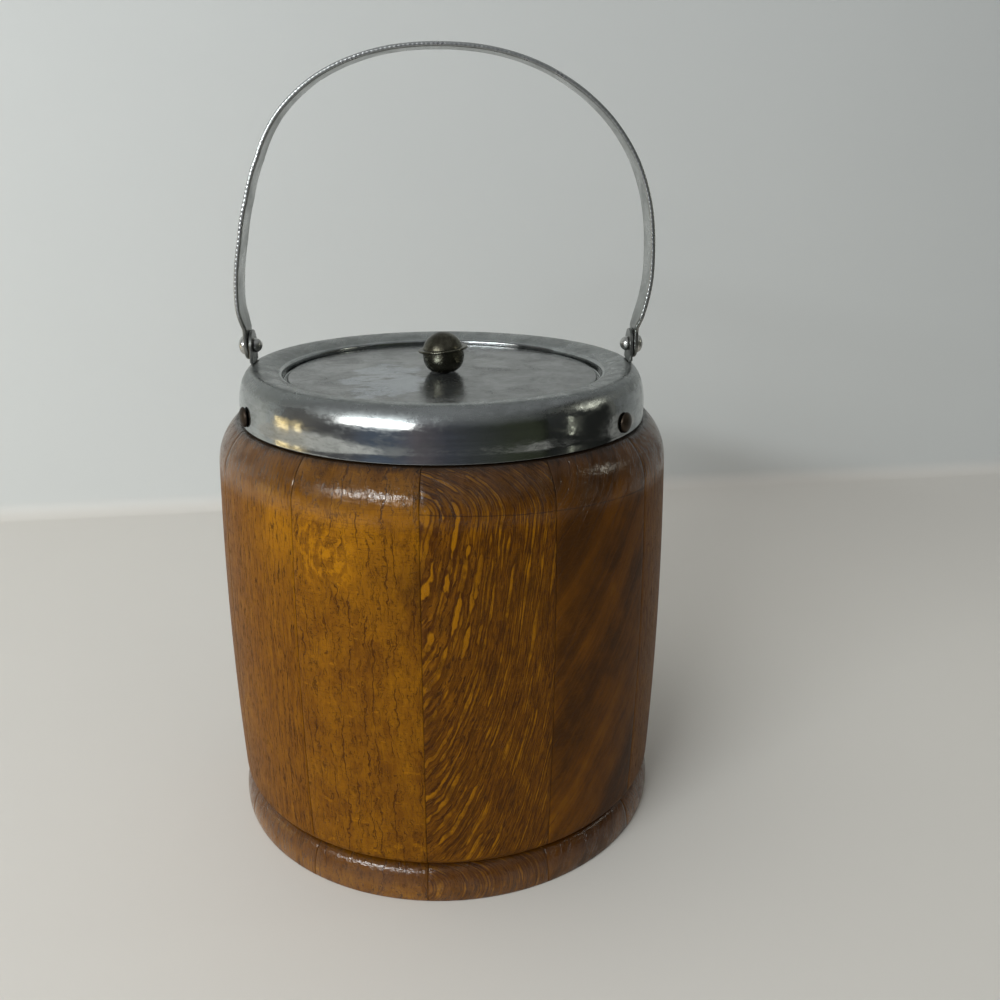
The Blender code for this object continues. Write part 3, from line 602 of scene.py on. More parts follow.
PLAIN = dict(seed=18.9, tone=0.0, patch=0.18, streak=0.40, rings=0.16, mottle=0.14, growth=0.55, wander=3.0,
             ripple=0.6, lean_in=0.30, slant=0.0, line_pitch=3.1, line_width=0.17, lines=0.70, pores=1.1,
             ticks=0.45, flame=0.05, lean=1.2, rise=0.01, curl=0.0, spacing=2.0, sway=1.0, share=0.0,
             flecks=0.0, ray_grain=False, knot=None, glow=None, blot=None, score=None)
LOOKS = {
    "plain": PLAIN,
    "flecked": dict(PLAIN, seed=3.1, tone=-0.058, patch=0.14, streak=0.55, rings=0.08, growth=0.30,
                    line_width=0.29, lines=0.80, pores=1.15, ticks=0.80, flame=0.15, lean=0.46, rise=0.164,
                    curl=0.00028, spacing=1.25, sway=1.9, share=0.150, flecks=0.56, ray_grain=True),
    "wavy": dict(PLAIN, seed=7.7, tone=0.008, streak=0.26, rings=0.08, mottle=0.26, growth=0.24, wander=6.0,
                 ripple=3.6, lean_in=0.10, line_pitch=3.8, line_width=0.27, lines=0.86, pores=0.80,
                 ticks=1.20, flame=0.62, lean=0.10, spacing=1.3),
    "slanted": dict(PLAIN, seed=12.4, tone=-0.104, patch=0.24, streak=0.18, rings=0.46, growth=0.085,
                    wander=7.0, ripple=0.9, lean_in=0.25, slant=-0.72, line_pitch=7.0, line_width=0.36,
                    lines=0.55, pores=0.50, ticks=0.50, flame=0.0, lean=0.60, rise=0.05, spacing=1.4),
}
STAVE_LOOKS = ("flecked", "slanted", "plain", "wavy", "flecked", "plain",
               "slanted", "wavy", "flecked", "plain", "plain", "wavy")
STAVE_TONES = (0.0, 0.0, -0.02, -0.03, 0.02, 0.0, 0.0, 0.02, -0.02, 0.0, 0.0, 0.0)
STAVE_MARKS = {0: dict(score=126.48), 1: dict(score=124.77, blot=(-11.0, 113.0, 14.0)),
               10: dict(glow=(14.0, 118.0, 9.0), tone=0.01),
               11: dict(knot=(-8.4, 114.0, 5.0), glow=(-3.0, 119.0, 15.0), blot=(17.5, 106.0, 8.0))}


# Metals and glaze

RECESS_WALL_MM = 52.5


def worn_metal(name, colour, dull, rough, haze, speck, turned_round=True, polished_below=None,
               tarnished_below=None, dented=1.0, relief=0.00005, streaks_and_sheen=0.0, metallic=1.0):
    """Plated metal with a spun or drawn grain, cloudy wear, specks and shallow dents. It can keep its polish
    below a height and inside its mouth, with the rest dulled, most of all on the left. It can be tarnished
    below a height, and have swept streaks and scratches, as on a lid that is wiped, and a painted pale sheen
    at its front left."""
    f = Finish(name)
    if turned_round:
        radius = f.math('SQRT', f.x * f.x + f.y * f.y + 0.01)

        def round_at(pitch):
            """The place round the piece and along its outline."""
            return f.join(f.x / radius, f.y / radius, (radius + f.z) * pitch)

        grain_at = round_at(4.0)
        arcs = f.band(f.noise(round_at(0.42), 1.6, detail=4.0, roughness=0.62), 0.50, 0.62)
    else:
        grain_at = f.stretch(f.point, (0.5, 3.0, 0.5))
    grain = f.noise(grain_at, 2.4, detail=3.0, roughness=0.7)
    cloud = f.noise(f.point, 0.085, detail=5.0, roughness=0.62, distortion=0.6)
    mottle = f.noise(f.point, 0.75, detail=4.0, roughness=0.65)
    specks = f.band(f.cells(f.point, 0.62), 0.16, 0.05)
    worn = f.band(cloud, 0.28, 0.76) * haze
    tint = f.layers(colour, (worn, dull), (f.band(mottle, 0.50, 0.75) * (0.35 * haze), dull))
    if turned_round:
        tint = f.blend(arcs * (0.38 * haze), tint, dull)
    if polished_below:
        top = (f.band(f.z, polished_below - 1.5, polished_below + 1.5)
               * f.band(radius, RECESS_WALL_MM, RECESS_WALL_MM + 0.9))
        smear = f.band(f.cloud(0.16, 0.5, (3.0, 0.0, 0.0), 5.0, 0.7), 0.46, 0.60)
        tint = f.layers(tint, (top * f.band(f.x, -15.0, -50.0, 0.45, 0.95), dull), (smear * 0.45, dull))
    if tarnished_below:
        tarnish = f.band(f.z + mottle * 8.0, tarnished_below + 12.0, tarnished_below, 0.0, 0.72)
        tint = f.blend(tarnish, tint, (0.105, 0.108, 0.096))
    if streaks_and_sheen:
        sweep = f.noise(f.stretch(f.point, (0.10, 0.15, 0.1), (5.0, 2.0, 0.0)), 1.0, 6.0, 0.70, 0.7)
        scratch = f.noise(f.stretch(f.point, (0.22, 3.2, 0.1)), detail=4.0, roughness=0.75)
        # painted sheen: a pale bluish patch at the lid's front left
        away = (f.length((f.x + 18.0) * (1.0 / 13.0), (f.y + 13.0) * (1.0 / 26.0))
                + f.noise(f.point, 0.10, detail=5.0, roughness=0.65) * 1.6 + -0.8)
        tint = f.layers(tint, (f.band(sweep, 0.50, 0.56) * streaks_and_sheen, dull),
                        (f.band(away, 1.05, 0.85) * f.band(sweep, 0.60, 0.54) * 0.75, (0.37, 0.40, 0.43)),
                        (f.band(scratch, 0.58, 0.64) * (0.6 * streaks_and_sheen), (0.12, 0.12, 0.12)))
    tint = f.blend(specks * speck, tint, (0.10, 0.10, 0.09))
    roughness = (worn * 0.16 + rough + f.band(mottle, 0.45, 0.75) * 0.10 + grain * 0.05
                 + specks * (0.25 * speck))
    if polished_below:
        roughness = roughness * (top * 0.79 + 0.46) + smear * 0.10
    dents = f.noise(f.point, 0.22, detail=3.0, roughness=0.55)
    height = grain * 0.25 + mottle * 0.35 + specks * (-0.6 * speck) + dents * dented
    return f.set(Base_Color=tint, Roughness=roughness, Normal=f.bump(height, 0.20, relief), Metallic=metallic)


def glaze():
    """White glaze with a faint crackle and a warm tone in its hollows."""
    f = Finish("liner_glaze")
    crack = f.band(f.cells(f.point, 0.16, 'DISTANCE_TO_EDGE'), 0.012, 0.002)
    tone = f.noise(f.point, 0.03, detail=3.0)
    colour = f.blend(tone, (0.80, 0.78, 0.71), (0.86, 0.84, 0.79))
    colour = f.blend(crack * 0.35, colour, (0.45, 0.36, 0.24))
    normal = f.bump(f.noise(f.point, 0.25, detail=3.0), 0.10, 0.0002)
    return f.set(Base_Color=colour, Roughness=tone * 0.06 + 0.10, Normal=normal, Coat_Weight=0.5,
                 Coat_Roughness=0.05)


# Oak pieces

def belly_radius(height):
    """Radius of the bowed wall: a circle of radius BELLY_CURVE whose top is the belly."""
    return BELLY_RADIUS - BELLY_CURVE + np.sqrt(BELLY_CURVE ** 2 - (height - BELLY_HEIGHT) ** 2)


def blank_profile():
    """Outline of the turned wall as a closed loop: outside from neck to foot, then up the bore."""
    wall_radius = belly_radius(SHOULDER_HEIGHT)
    shoulder_end = math.degrees(math.asin((SHELF_HEIGHT - SHOULDER_HEIGHT) / SHOULDER_ROUND))
    foot_top = FOOT_HEIGHT + FOOT_ROUND_HEIGHT
    heights = np.linspace(SHOULDER_HEIGHT, foot_top, 40)[1:-1]
    return path(
        (NECK_RADIUS - NECK_BEVEL, NECK_TOP),
        (NECK_RADIUS, NECK_TOP - NECK_BEVEL_HEIGHT),
        (NECK_RADIUS, SHELF_HEIGHT),
        rounded(wall_radius - SHOULDER_ROUND, SHOULDER_HEIGHT, SHOULDER_ROUND, shoulder_end, 0.0, 20),
        np.stack([belly_radius(heights), heights], axis=-1),
        arc((GROOVE_RADIUS, foot_top), (belly_radius(foot_top) - GROOVE_RADIUS, FOOT_ROUND_HEIGHT),
            0.0, -90.0, 10),
        arc((GROOVE_RADIUS, BEAD_WIDEST), (BEAD_RADIUS - GROOVE_RADIUS, BEAD_HEIGHT - BEAD_WIDEST),
            90.0, 0.0, 24),
        arc((BEAD_RADIUS - BEAD_FOOT_EASE, BEAD_WIDEST), (BEAD_FOOT_EASE, BEAD_WIDEST), 0.0, -90.0, 8)[1:],
        (REBATE_RADIUS, 0.0), (REBATE_RADIUS, REBATE_HEIGHT), (BORE_RADIUS, REBATE_HEIGHT),
        (BORE_RADIUS, NECK_TOP))


def inward(profile):
    """Unit steps from a closed loop's points to its inside, square to the chord between neighbours."""
    chord = np.roll(profile, -1, axis=0) - np.roll(profile, 1, axis=0)
    normal = np.stack([chord[:, 1], -chord[:, 0]], axis=-1)
    return normal / np.linalg.norm(normal, axis=1, keepdims=True)


def stave_grid(middle_deg, columns=26):
    """The blank's outline carried over one stave's sector. The two end columns step in along the outline's
    normal, which eases the long edges, and stop short of the glue line."""
    profile = blank_profile()
    eased = profile + JOINT_CHAMFER_DEPTH * inward(profile)
    share = np.linspace(-1.0, 1.0, columns)[None, :]
    radius = profile[:, :1]
    inner = share * (HALF_STAVE - (GLUE_LINE + JOINT_CHAMFER) / radius)
    ends = HALF_STAVE - GLUE_LINE / radius
    angle = np.concatenate([-ends, inner, ends], axis=1) + math.radians(middle_deg)
    radius = np.concatenate([eased[:, :1], np.repeat(radius, columns, axis=1), eased[:, :1]], axis=1)
    height = np.concatenate([eased[:, 1:], np.repeat(profile[:, 1:], columns, axis=1), eased[:, 1:]], axis=1)
    return carried_round(radius, height, angle)


def add_staves():
    """Twelve staves, each a closed shell with its own cut of oak."""
    for index in range(STAVE_COUNT):
        middle_deg = FIRST_JOINT_DEG + (index + 0.5) * 360.0 / STAVE_COUNT
        grid = stave_grid(middle_deg)
        rows, columns = grid.shape[:2]
        grid = np.concatenate([grid, grid[:1]])
        near = np.arange(rows) * columns
        look = dict(LOOKS[STAVE_LOOKS[index]], **STAVE_MARKS.get(index, {}))
        look["seed"] += 5.0 * index
        look["tone"] += STAVE_TONES[index]
        number = "%02d" % (index + 1)
        add_piece("oak_stave_" + number, grid, "barrel", oak("oak_" + number, middle_deg, look), "oak",
                  "stave_" + number, caps=(near, near + columns - 1))


def add_bottom_board():
    """Round board let in under the liner, its edges eased."""
    ease, top, outer = 0.0006, REBATE_HEIGHT - GAP, REBATE_RADIUS - GAP
    profile = path((0.0, top), rounded(outer - ease, top - ease, ease, 90.0, 0.0, 5),
                   rounded(outer - ease, ease, ease, 0.0, -90.0, 5), (0.0, 0.0))
    look = dict(LOOKS["plain"], tone=-0.05, seed=40.0)
    add_piece("oak_board", turned(dense(profile, 0.004)), "barrel", oak("oak_board", 75.0, look), "oak_board",
              "bottom_board")


# Liner

def add_liner():
    """Glazed pot: floor, fillet, wall, thick rolled rim, and the outside down to the foot."""
    rim, swell, bottom = LINER_RIM_ROUND, LINER_RIM_SWELL, REBATE_HEIGHT
    rim_top = LINER_TOP - rim
    profile = path(
        (0.0, LINER_FLOOR),
        rounded(LINER_BORE - LINER_FILLET, LINER_FLOOR + LINER_FILLET, LINER_FILLET, -90.0, 0.0, 14),
        rounded(LINER_BORE - swell, LINER_TOP - LINER_RIM_HEIGHT - swell, swell, 0.0, 80.0, 8),
        rounded(LINER_BORE - swell + rim, rim_top, rim, 180.0, 90.0, 8),
        rounded(LINER_OUTER - rim, rim_top, rim, 90.0, 0.0, 8),
        rounded(LINER_OUTER - LINER_FOOT_ROUND, bottom + LINER_FOOT_ROUND, LINER_FOOT_ROUND, 0.0, -90.0, 8),
        (0.0, bottom))
    add_piece("glazed_liner", turned(dense(profile, 0.006)), "barrel", glaze(), "liner_glaze", "liner",
              smooth_deg=60.0)


# Collar

def collar_profile():
    """Shown face of the collar and the rows of its ear slots: ledge, recess wall, rolled lip, dish, crest,
    band and a slightly rolled bottom edge."""
    lip_top = RECESS_RADIUS + LIP_ROUND
    corner = 0.0005
    share = np.linspace(0.0, 1.0, 14)[1:-1]
    dish = np.stack([lip_top + (CREST_RADIUS - lip_top) * share,
                     LIP_HEIGHT + (CREST_HEIGHT - LIP_HEIGHT) * (1.0 - (1.0 - share) ** 2)], axis=-1)
    inset, rise = COLLAR_RADIUS - CREST_RADIUS, CREST_HEIGHT - BAND_TOP
    slot_edges = [EAR_DISTANCE - EAR_THICKNESS / 2 - GAP, EAR_DISTANCE + EAR_THICKNESS / 2 + GAP + 0.0001]
    slot_deg = [math.degrees(math.acos((edge - CREST_RADIUS) / inset)) for edge in slot_edges]
    even = np.linspace(90.0, 0.0, 40)
    even = even[np.abs(even[:, None] - np.array(slot_deg)[None, :]).min(axis=1) > 0.6]
    angles = np.radians(np.sort(np.concatenate([even, slot_deg]))[::-1])
    band = np.stack([CREST_RADIUS + inset * np.cos(angles), BAND_TOP + rise * np.sin(angles)], axis=-1)
    edge = path((COLLAR_RADIUS, BAND_TOP - BAND_BEND_DROP),
                (COLLAR_RADIUS, COLLAR_BOTTOM + ROLL_START_RISE),
                (COLLAR_RADIUS + EDGE_ROLL, COLLAR_BOTTOM + ROLL_WIDEST_RISE),
                (COLLAR_RADIUS + 0.6 * EDGE_ROLL, COLLAR_BOTTOM))
    head = path((LEDGE_RADIUS, LEDGE_HEIGHT), (RECESS_RADIUS - 0.002, LEDGE_HEIGHT),
                rounded(RECESS_RADIUS - corner, LEDGE_HEIGHT + corner, corner, -90.0, 0.0, 6),
                rounded(lip_top, LIP_HEIGHT - LIP_ROUND, LIP_ROUND, 180.0, 90.0, 10), dish)
    profile = np.concatenate([head, band, edge])
    rows = [len(head) + int(np.argmin(np.abs(np.degrees(angles) - degree))) for degree in slot_deg]
    return profile, rows


def add_collar(chrome):
    """Spun collar: the profile carried round Z, with the quads over the two ear slots left out, then
    thickened behind its shown face."""
    profile, slot_rows = collar_profile()
    half = math.degrees(math.asin((TAB_WIDTH / 2 + GAP) / EAR_DISTANCE))
    marks = np.array([90.0 - half, 90.0 + half, 270.0 - half, 270.0 + half])
    even = np.linspace(0.0, 360.0, 241)
    even = even[np.abs(even[:, None] - marks[None, :]).min(axis=1) > 0.4]
    degrees = np.sort(np.concatenate([even, marks]))
    grid = carried_round(profile[:, :1], profile[:, 1:], np.radians(degrees)[None, :])
    row = np.arange(len(profile) - 1)[:, None]
    middle = (degrees[:-1] + degrees[1:])[None, :] / 2
    in_slot = (row >= slot_rows[0]) & (row < slot_rows[1]) & (np.abs(np.mod(middle, 180.0) - 90.0) < half)
    piece = add_piece("chromed_collar", grid, "barrel", chrome, "collar_chrome", "collar",
                      kept=~in_slot.ravel(), closed=False, smooth_deg=50.0)
    add_sheet(piece, SHEET, -1.0)
    add_bevel(piece, COLLAR_EDGE_ROUND)


def radial_place(azimuth_deg, height):
    """A matrix that points a piece's Z axis out of the barrel at an azimuth and a height."""
    turn = Matrix.Rotation(math.radians(azimuth_deg - 90.0), 4, 'Z')
    return Matrix.Translation((0.0, 0.0, height)) @ turn @ Matrix.Rotation(math.pi / 2, 4, 'Y')


def add_nails(brass):
    """Domed nails at three stave joints."""
    seat = COLLAR_RADIUS + GAP
    profile = path(
        arc((0.0, seat), (NAIL_HEAD_RADIUS, NAIL_HEAD_HEIGHT), 90.0, 0.0, 14),
        (NAIL_HEAD_RADIUS - HEAD_EASE, seat - HEAD_EASE / 2), (NAIL_PIN_RADIUS, seat - HEAD_EASE / 2),
        (NAIL_PIN_RADIUS, NAIL_TIP + NAIL_PIN_RADIUS), (0.0, NAIL_TIP))
    for index, azimuth in enumerate(NAIL_AZIMUTHS):
        number = "_nail_%d" % (index + 1)
        add_piece("brass" + number, turned(profile, 40, radial_place(azimuth, BAND_TOP)), "barrel", brass,
                  "nail_brass", "collar" + number)


# Lid

def add_lid(chrome):
    """Flat pressed plate: top face, rounded edge, short skirt, thickened behind its shown face."""
    profile = path((STUD_HOLE_RADIUS, LID_TOP), (LID_RADIUS - SHEET, LID_TOP),
                   rounded(LID_RADIUS - SHEET, LID_TOP - SHEET, SHEET, 90.0, 0.0, 8)[1:],
                   (LID_RADIUS, LID_BOTTOM))
    piece = add_piece("lid_disc", turned(dense(profile, 0.003), 180), "lid", chrome, "lid_chrome",
                      "lid_plate", closed=False, smooth_deg=50.0)
    add_sheet(piece, SHEET, -1.0)
    add_bevel(piece, LID_EDGE_ROUND)


def knob_place():
    """The tilted ball's own frame."""
    return Matrix.Translation((0.0, 0.0, KNOB_HEIGHT)) @ Matrix.Rotation(math.radians(SEAM_TILT_DEG), 4, 'Y')


def fuller_below(points, power):
    """Ball points with their lower half swollen: each distance from the middle times
    (|cos a|^power + |sin a|^power)^(-1/power), for the angle a below the middle."""
    angle = np.arctan2(points[:, 1], points[:, 0])
    share = (np.abs(np.cos(angle)) ** power + np.abs(np.sin(angle)) ** power) ** (-1.0 / power)
    return points * np.where(angle < 0.0, share, 1.0)[:, None]


def add_knob(brass):
    """Ball of two pressed halves: the lower one is a little fuller than a ball, carries the crimped seam and
    is flat underneath, which is a height that never goes below the foot."""
    cavity, half, outer_rows = KNOB_RADIUS - KNOB_SHEET, SEAM_THICKNESS / 2, 40
    low, high = SEAM_RISE - half, SEAM_RISE + half

    def meets(size, rise):
        """Where a round of a size reaches a rise, in degrees."""
        return math.degrees(math.asin(rise / size))

    shell = path(
        fuller_below(rounded(0.0, 0.0, KNOB_RADIUS, -90.0, meets(KNOB_RADIUS, low), outer_rows),
                     KNOB_FULLNESS),
        rounded(SEAM_RADIUS - half, SEAM_RISE, half, -90.0, 90.0, 12), (KNOB_RADIUS - HEAD_EASE, high),
        fuller_below(rounded(0.0, 0.0, cavity, meets(cavity, high), -90.0, 30), KNOB_FULLNESS))
    grid = turned(shell, 64, knob_place())
    grid[:outer_rows, :, 2] = np.maximum(grid[:outer_rows, :, 2], KNOB_FOOT)
    grid[outer_rows:, :, 2] = np.maximum(grid[outer_rows:, :, 2], KNOB_FOOT + KNOB_SHEET)
    edge = high + KNOB_GAP
    dome = path(rounded(0.0, 0.0, KNOB_RADIUS, 90.0, meets(KNOB_RADIUS, edge), 24),
                rounded(0.0, 0.0, cavity, meets(cavity, edge), 90.0, 16))
    add_piece("ball_lower", grid, "lid", brass, "knob_brass", "knob_lower")
    add_piece("ball_upper", turned(dome, 64, knob_place()), "lid", brass, "knob_brass", "knob_upper")


def add_fastening(steel):
    """Stud through the lid, its washer and its nut. The nut's radius over the turn is the hexagon's, cut by a
    cone at both ends."""
    washer_top = LID_TOP - SHEET - GAP
    washer_bottom = washer_top - WASHER_THICKNESS
    nut_top = washer_bottom - GAP
    tail = nut_top - NUT_HEIGHT - STUD_TAIL
    hollow = math.sqrt((KNOB_RADIUS - KNOB_SHEET) ** 2 - STUD_HEAD_RADIUS ** 2)
    head_seat = KNOB_HEIGHT - hollow + STUD_HEAD_LIFT
    head_top = head_seat + STUD_HEAD_HEIGHT
    thread_z = np.linspace(head_seat - THREAD_START_DROP, tail + THREAD_END_RISE, 90)
    waves = 1.0 + np.sin(thread_z / THREAD_PITCH * 2.0 * np.pi)
    thread = np.stack([STUD_RADIUS - THREAD_DEPTH / 2 * waves, thread_z], axis=-1)
    stud = path((0.0, head_top), (STUD_HEAD_RADIUS - STUD_HEAD_EASE, head_top),
                (STUD_HEAD_RADIUS, head_top - STUD_HEAD_EASE), (STUD_HEAD_RADIUS, head_seat),
                (STUD_RADIUS, head_seat), thread, (STUD_RADIUS - STUD_TIP_EASE, tail), (0.0, tail))
    ease = 0.00015
    washer = path(
        (STUD_HOLE_RADIUS, washer_top), (WASHER_RADIUS - ease, washer_top),
        (WASHER_RADIUS, washer_top - ease), (WASHER_RADIUS, washer_bottom + ease),
        (WASHER_RADIUS - ease, washer_bottom), (STUD_HOLE_RADIUS, washer_bottom),
        (STUD_HOLE_RADIUS, washer_top))
    angle = np.linspace(0.0, 2.0 * np.pi, 73)[None, :]
    flat = NUT_ACROSS_FLATS / 2
    hexagon = flat / np.cos(np.mod(angle, np.pi / 3) - np.pi / 6)
    drop = np.array([0.0, 0.0, 0.0002, 0.0006, 0.0020, 0.0024, NUT_HEIGHT, NUT_HEIGHT, 0.0])[:, None]
    limit = np.array([0.0, flat, flat + 0.0002, 0.0040, 0.0040, flat + 0.0002, flat, 0.0, 0.0])[:, None]
    bore = np.array([1.0, 0.0, 0.0, 0.0, 0.0, 0.0, 0.0, 1.0, 1.0])[:, None]
    radius = np.where(bore > 0.5, STUD_HOLE_RADIUS + 0.0 * angle, np.minimum(limit, hexagon))
    for name, grid, smooth_deg in (("stud", turned(stud, 40), 60.0), ("washer", turned(washer, 48), 38.0),
                                   ("nut", carried_round(radius, nut_top - drop, angle), 20.0)):
        add_piece("lid_" + name, grid, "lid", steel, "fixing_steel", "knob_" + name, smooth_deg=smooth_deg)


# Ears, rivets and bail

def ear_outline():
    """Outline (y, z) of an ear about its pivot, once round from the tab's lower right corner."""
    half = TAB_WIDTH / 2
    right = path((half, TAB_END), (half, EAR_SEAT), (EAR_RADIUS, EAR_CORNER))
    return path(right, rounded(0.0, 0.0, EAR_RADIUS, 0.0, 180.0, 40),
                (-EAR_RADIUS, EAR_CORNER), (-half, EAR_SEAT), (-half, TAB_END), (half, TAB_END))


def add_ears(chrome):
    """Flat ears: a ring section (hole, face, eased edge, other face, hole) carried round the outline."""
    outline = dense(ear_outline(), 0.0007)
    angle = np.arctan2(outline[:, 1], outline[:, 0])
    hole = RIVET_HOLE_RADIUS * np.stack([np.cos(angle), np.sin(angle)], axis=-1)
    ease = 0.00012
    eased = outline * (1.0 - ease / np.linalg.norm(outline, axis=1, keepdims=True))
    half = EAR_THICKNESS / 2
    sections = [(hole, half), (eased, half), (outline, half - ease), (outline, ease - half), (eased, -half),
                (hole, -half), (hole, half)]
    for side, sign in (("left", -1), ("right", 1)):
        grid = np.stack([np.column_stack([np.full(len(line), sign * EAR_DISTANCE + depth), line[:, 0],
                                          line[:, 1] + PIVOT_HEIGHT]) for line, depth in sections])
        add_piece("chromed_ear_" + side, grid, "barrel", chrome, "bail_chrome", "ear_" + side)


def add_rivets(steel):
    """Rivets along X: outer dome, shank, inner dome."""
    outer_seat, inner_seat = EYE_OUTER + GAP, EAR_DISTANCE - EAR_THICKNESS / 2 - GAP
    profile = path(
        arc((0.0, outer_seat), (OUTER_HEAD_RADIUS, OUTER_HEAD_HEIGHT), 90.0, 0.0, 16),
        (OUTER_HEAD_RADIUS - HEAD_EASE, outer_seat - HEAD_EASE), (RIVET_RADIUS, outer_seat - HEAD_EASE),
        (RIVET_RADIUS, inner_seat + HEAD_EASE), (INNER_HEAD_RADIUS - HEAD_EASE, inner_seat + HEAD_EASE),
        arc((0.0, inner_seat), (INNER_HEAD_RADIUS, INNER_HEAD_HEIGHT), 0.0, -90.0, 16))
    for side, azimuth in (("left", -90.0), ("right", 90.0)):
        add_piece("steel_rivet_" + side, turned(profile, 44, radial_place(azimuth, PIVOT_HEIGHT)), "barrel",
                  steel, "rivet_steel", "rivet_" + side)


def bail_line(rise):
    """The strip's middle line over the pivot: a circular flare to the widest point, then a super-ellipse."""
    half_sheet = STRIP_THICKNESS / 2
    span = BAIL_HALF_SPAN - half_sheet
    drop = np.clip(BAIL_WIDEST_RISE - rise, 0.0, None)
    inset = span - (EYE_OUTER - half_sheet)
    bow = np.minimum(FLARE_RADIUS - np.sqrt(np.maximum(FLARE_RADIUS ** 2 - drop ** 2, 0.0)), inset)
    crown = np.clip((rise - BAIL_WIDEST_RISE) / (BAIL_CROWN_RISE - half_sheet), 0.0, 1.0)
    crown = (1.0 - crown ** BAIL_FULLNESS) ** (1.0 / BAIL_FULLNESS)
    return np.where(rise < BAIL_WIDEST_RISE, span - bow, span * crown)


def bail_path(count):
    """Points (x, z) from the right neck over the crown to the left neck, evenly spaced, and the distances
    along them."""
    low = np.linspace(EYE_NECK_RISE, BAIL_WIDEST_RISE, 60)[:-1]
    angle = np.linspace(0.0, np.pi / 2, 400)
    span, power = BAIL_HALF_SPAN - STRIP_THICKNESS / 2, 2.0 / BAIL_FULLNESS
    crown = BAIL_CROWN_RISE - STRIP_THICKNESS / 2
    x = np.concatenate([bail_line(low), span * np.abs(np.cos(angle)) ** power])
    z = np.concatenate([low, BAIL_WIDEST_RISE + crown * np.sin(angle) ** power])
    x[-1] = 0.0
    x, z = np.concatenate([x, -x[-2::-1]]), np.concatenate([z, z[-2::-1]])
    length = np.concatenate([[0.0], np.cumsum(np.hypot(np.diff(x), np.diff(z)))])
    even = np.linspace(0.0, length[-1], count)
    return np.interp(even, length, x), np.interp(even, length, z), even


def eye_grid(columns):
    """Eye with its hole, from a square of rings: the square's rim goes to the outline (round below, straight
    up to the neck above), the rim of its middle to the hole, and points between are mixed by their ring."""
    side = np.linspace(-1.0, 1.0, columns)
    u, v = np.meshgrid(side, side)
    ring = np.maximum(np.abs(u), np.abs(v))
    ring_safe = np.maximum(ring, 1e-9)
    u_rim, v_rim = u / ring_safe, v / ring_safe
    angle = np.arctan2(v_rim, u_rim)
    hole_ring = side[columns // 2 + 1] * 0.999
    below = v_rim < 0.0
    y = np.where(below, EYE_RADIUS * np.cos(angle), EYE_RADIUS * u_rim)
    z = np.where(below, EYE_RADIUS * np.sin(angle), EYE_NECK_RISE * v_rim)
    share = np.clip((ring - hole_ring) / (1.0 - hole_ring), 0.0, 1.0)
    y = y * share + RIVET_HOLE_RADIUS * np.cos(angle) * (1.0 - share)
    z = z * share + RIVET_HOLE_RADIUS * np.sin(angle) * (1.0 - share)
    middle = np.abs(side[:-1] + side[1:]) / 2
    kept = np.maximum(middle[:, None], middle[None, :]) > hole_ring / 2 + 1e-6
    return y, z, kept


def add_bail(chrome):
    """Flat strip on its middle surface: two eyes and the strip between them, whose width follows the outline
    and is notched along both edges, then thickened both ways. It is bent a little to the right."""
    columns, rows = 9, 1300
    x, z, along = bail_path(rows)
    rises = [EYE_NECK_RISE, STRIP_SHOULDER_RISE, STRIP_TAPER_RISE, BAIL_WIDEST_RISE + BAIL_CROWN_RISE]
    width = np.interp(z, rises, [2 * EYE_RADIUS, STRIP_LOW_WIDTH, STRIP_LOW_WIDTH, STRIP_CROWN_WIDTH]) / 2
    low_down = np.interp(z, [EYE_NECK_RISE, 0.010, 0.060, 0.090], [0.0, 1.0, 0.8, 0.5])
    width = width - NOTCH_DEPTH * low_down * (0.5 + 0.5 * np.sin(along / NOTCH_PITCH * 2.0 * np.pi))
    x = x + np.where(x < 0.0, np.interp(z, BEND_RISES, BEND_LEFT), np.interp(z, BEND_RISES, BEND_RIGHT))
    side = np.linspace(-1.0, 1.0, columns)[None, :]
    strip = spread(x[:, None], width[:, None] * side, z[:, None])
    y_eye, z_eye, kept_eye = eye_grid(columns)
    x_eye = bail_line(z_eye)
    right, left = spread(x_eye, y_eye, z_eye), spread(-x_eye, y_eye, z_eye)[::-1]
    grids = [grid + np.array([0.0, 0.0, PIVOT_HEIGHT]) for grid in (right, strip, left)]
    kept_strip = np.ones((rows - 1) * (columns - 1), dtype=bool)
    kept = np.concatenate([kept_eye.ravel(), kept_strip, kept_eye[::-1].ravel()])
    piece = add_piece("bail_strip", grids, "bail", chrome, "bail_chrome", "bail", kept=kept, closed=False,
                      smooth_deg=50.0)
    add_sheet(piece, STRIP_THICKNESS, 0.0)
    add_bevel(piece, STRIP_EDGE_ROUND, 4, 50.0)


# Camera, floor and lights

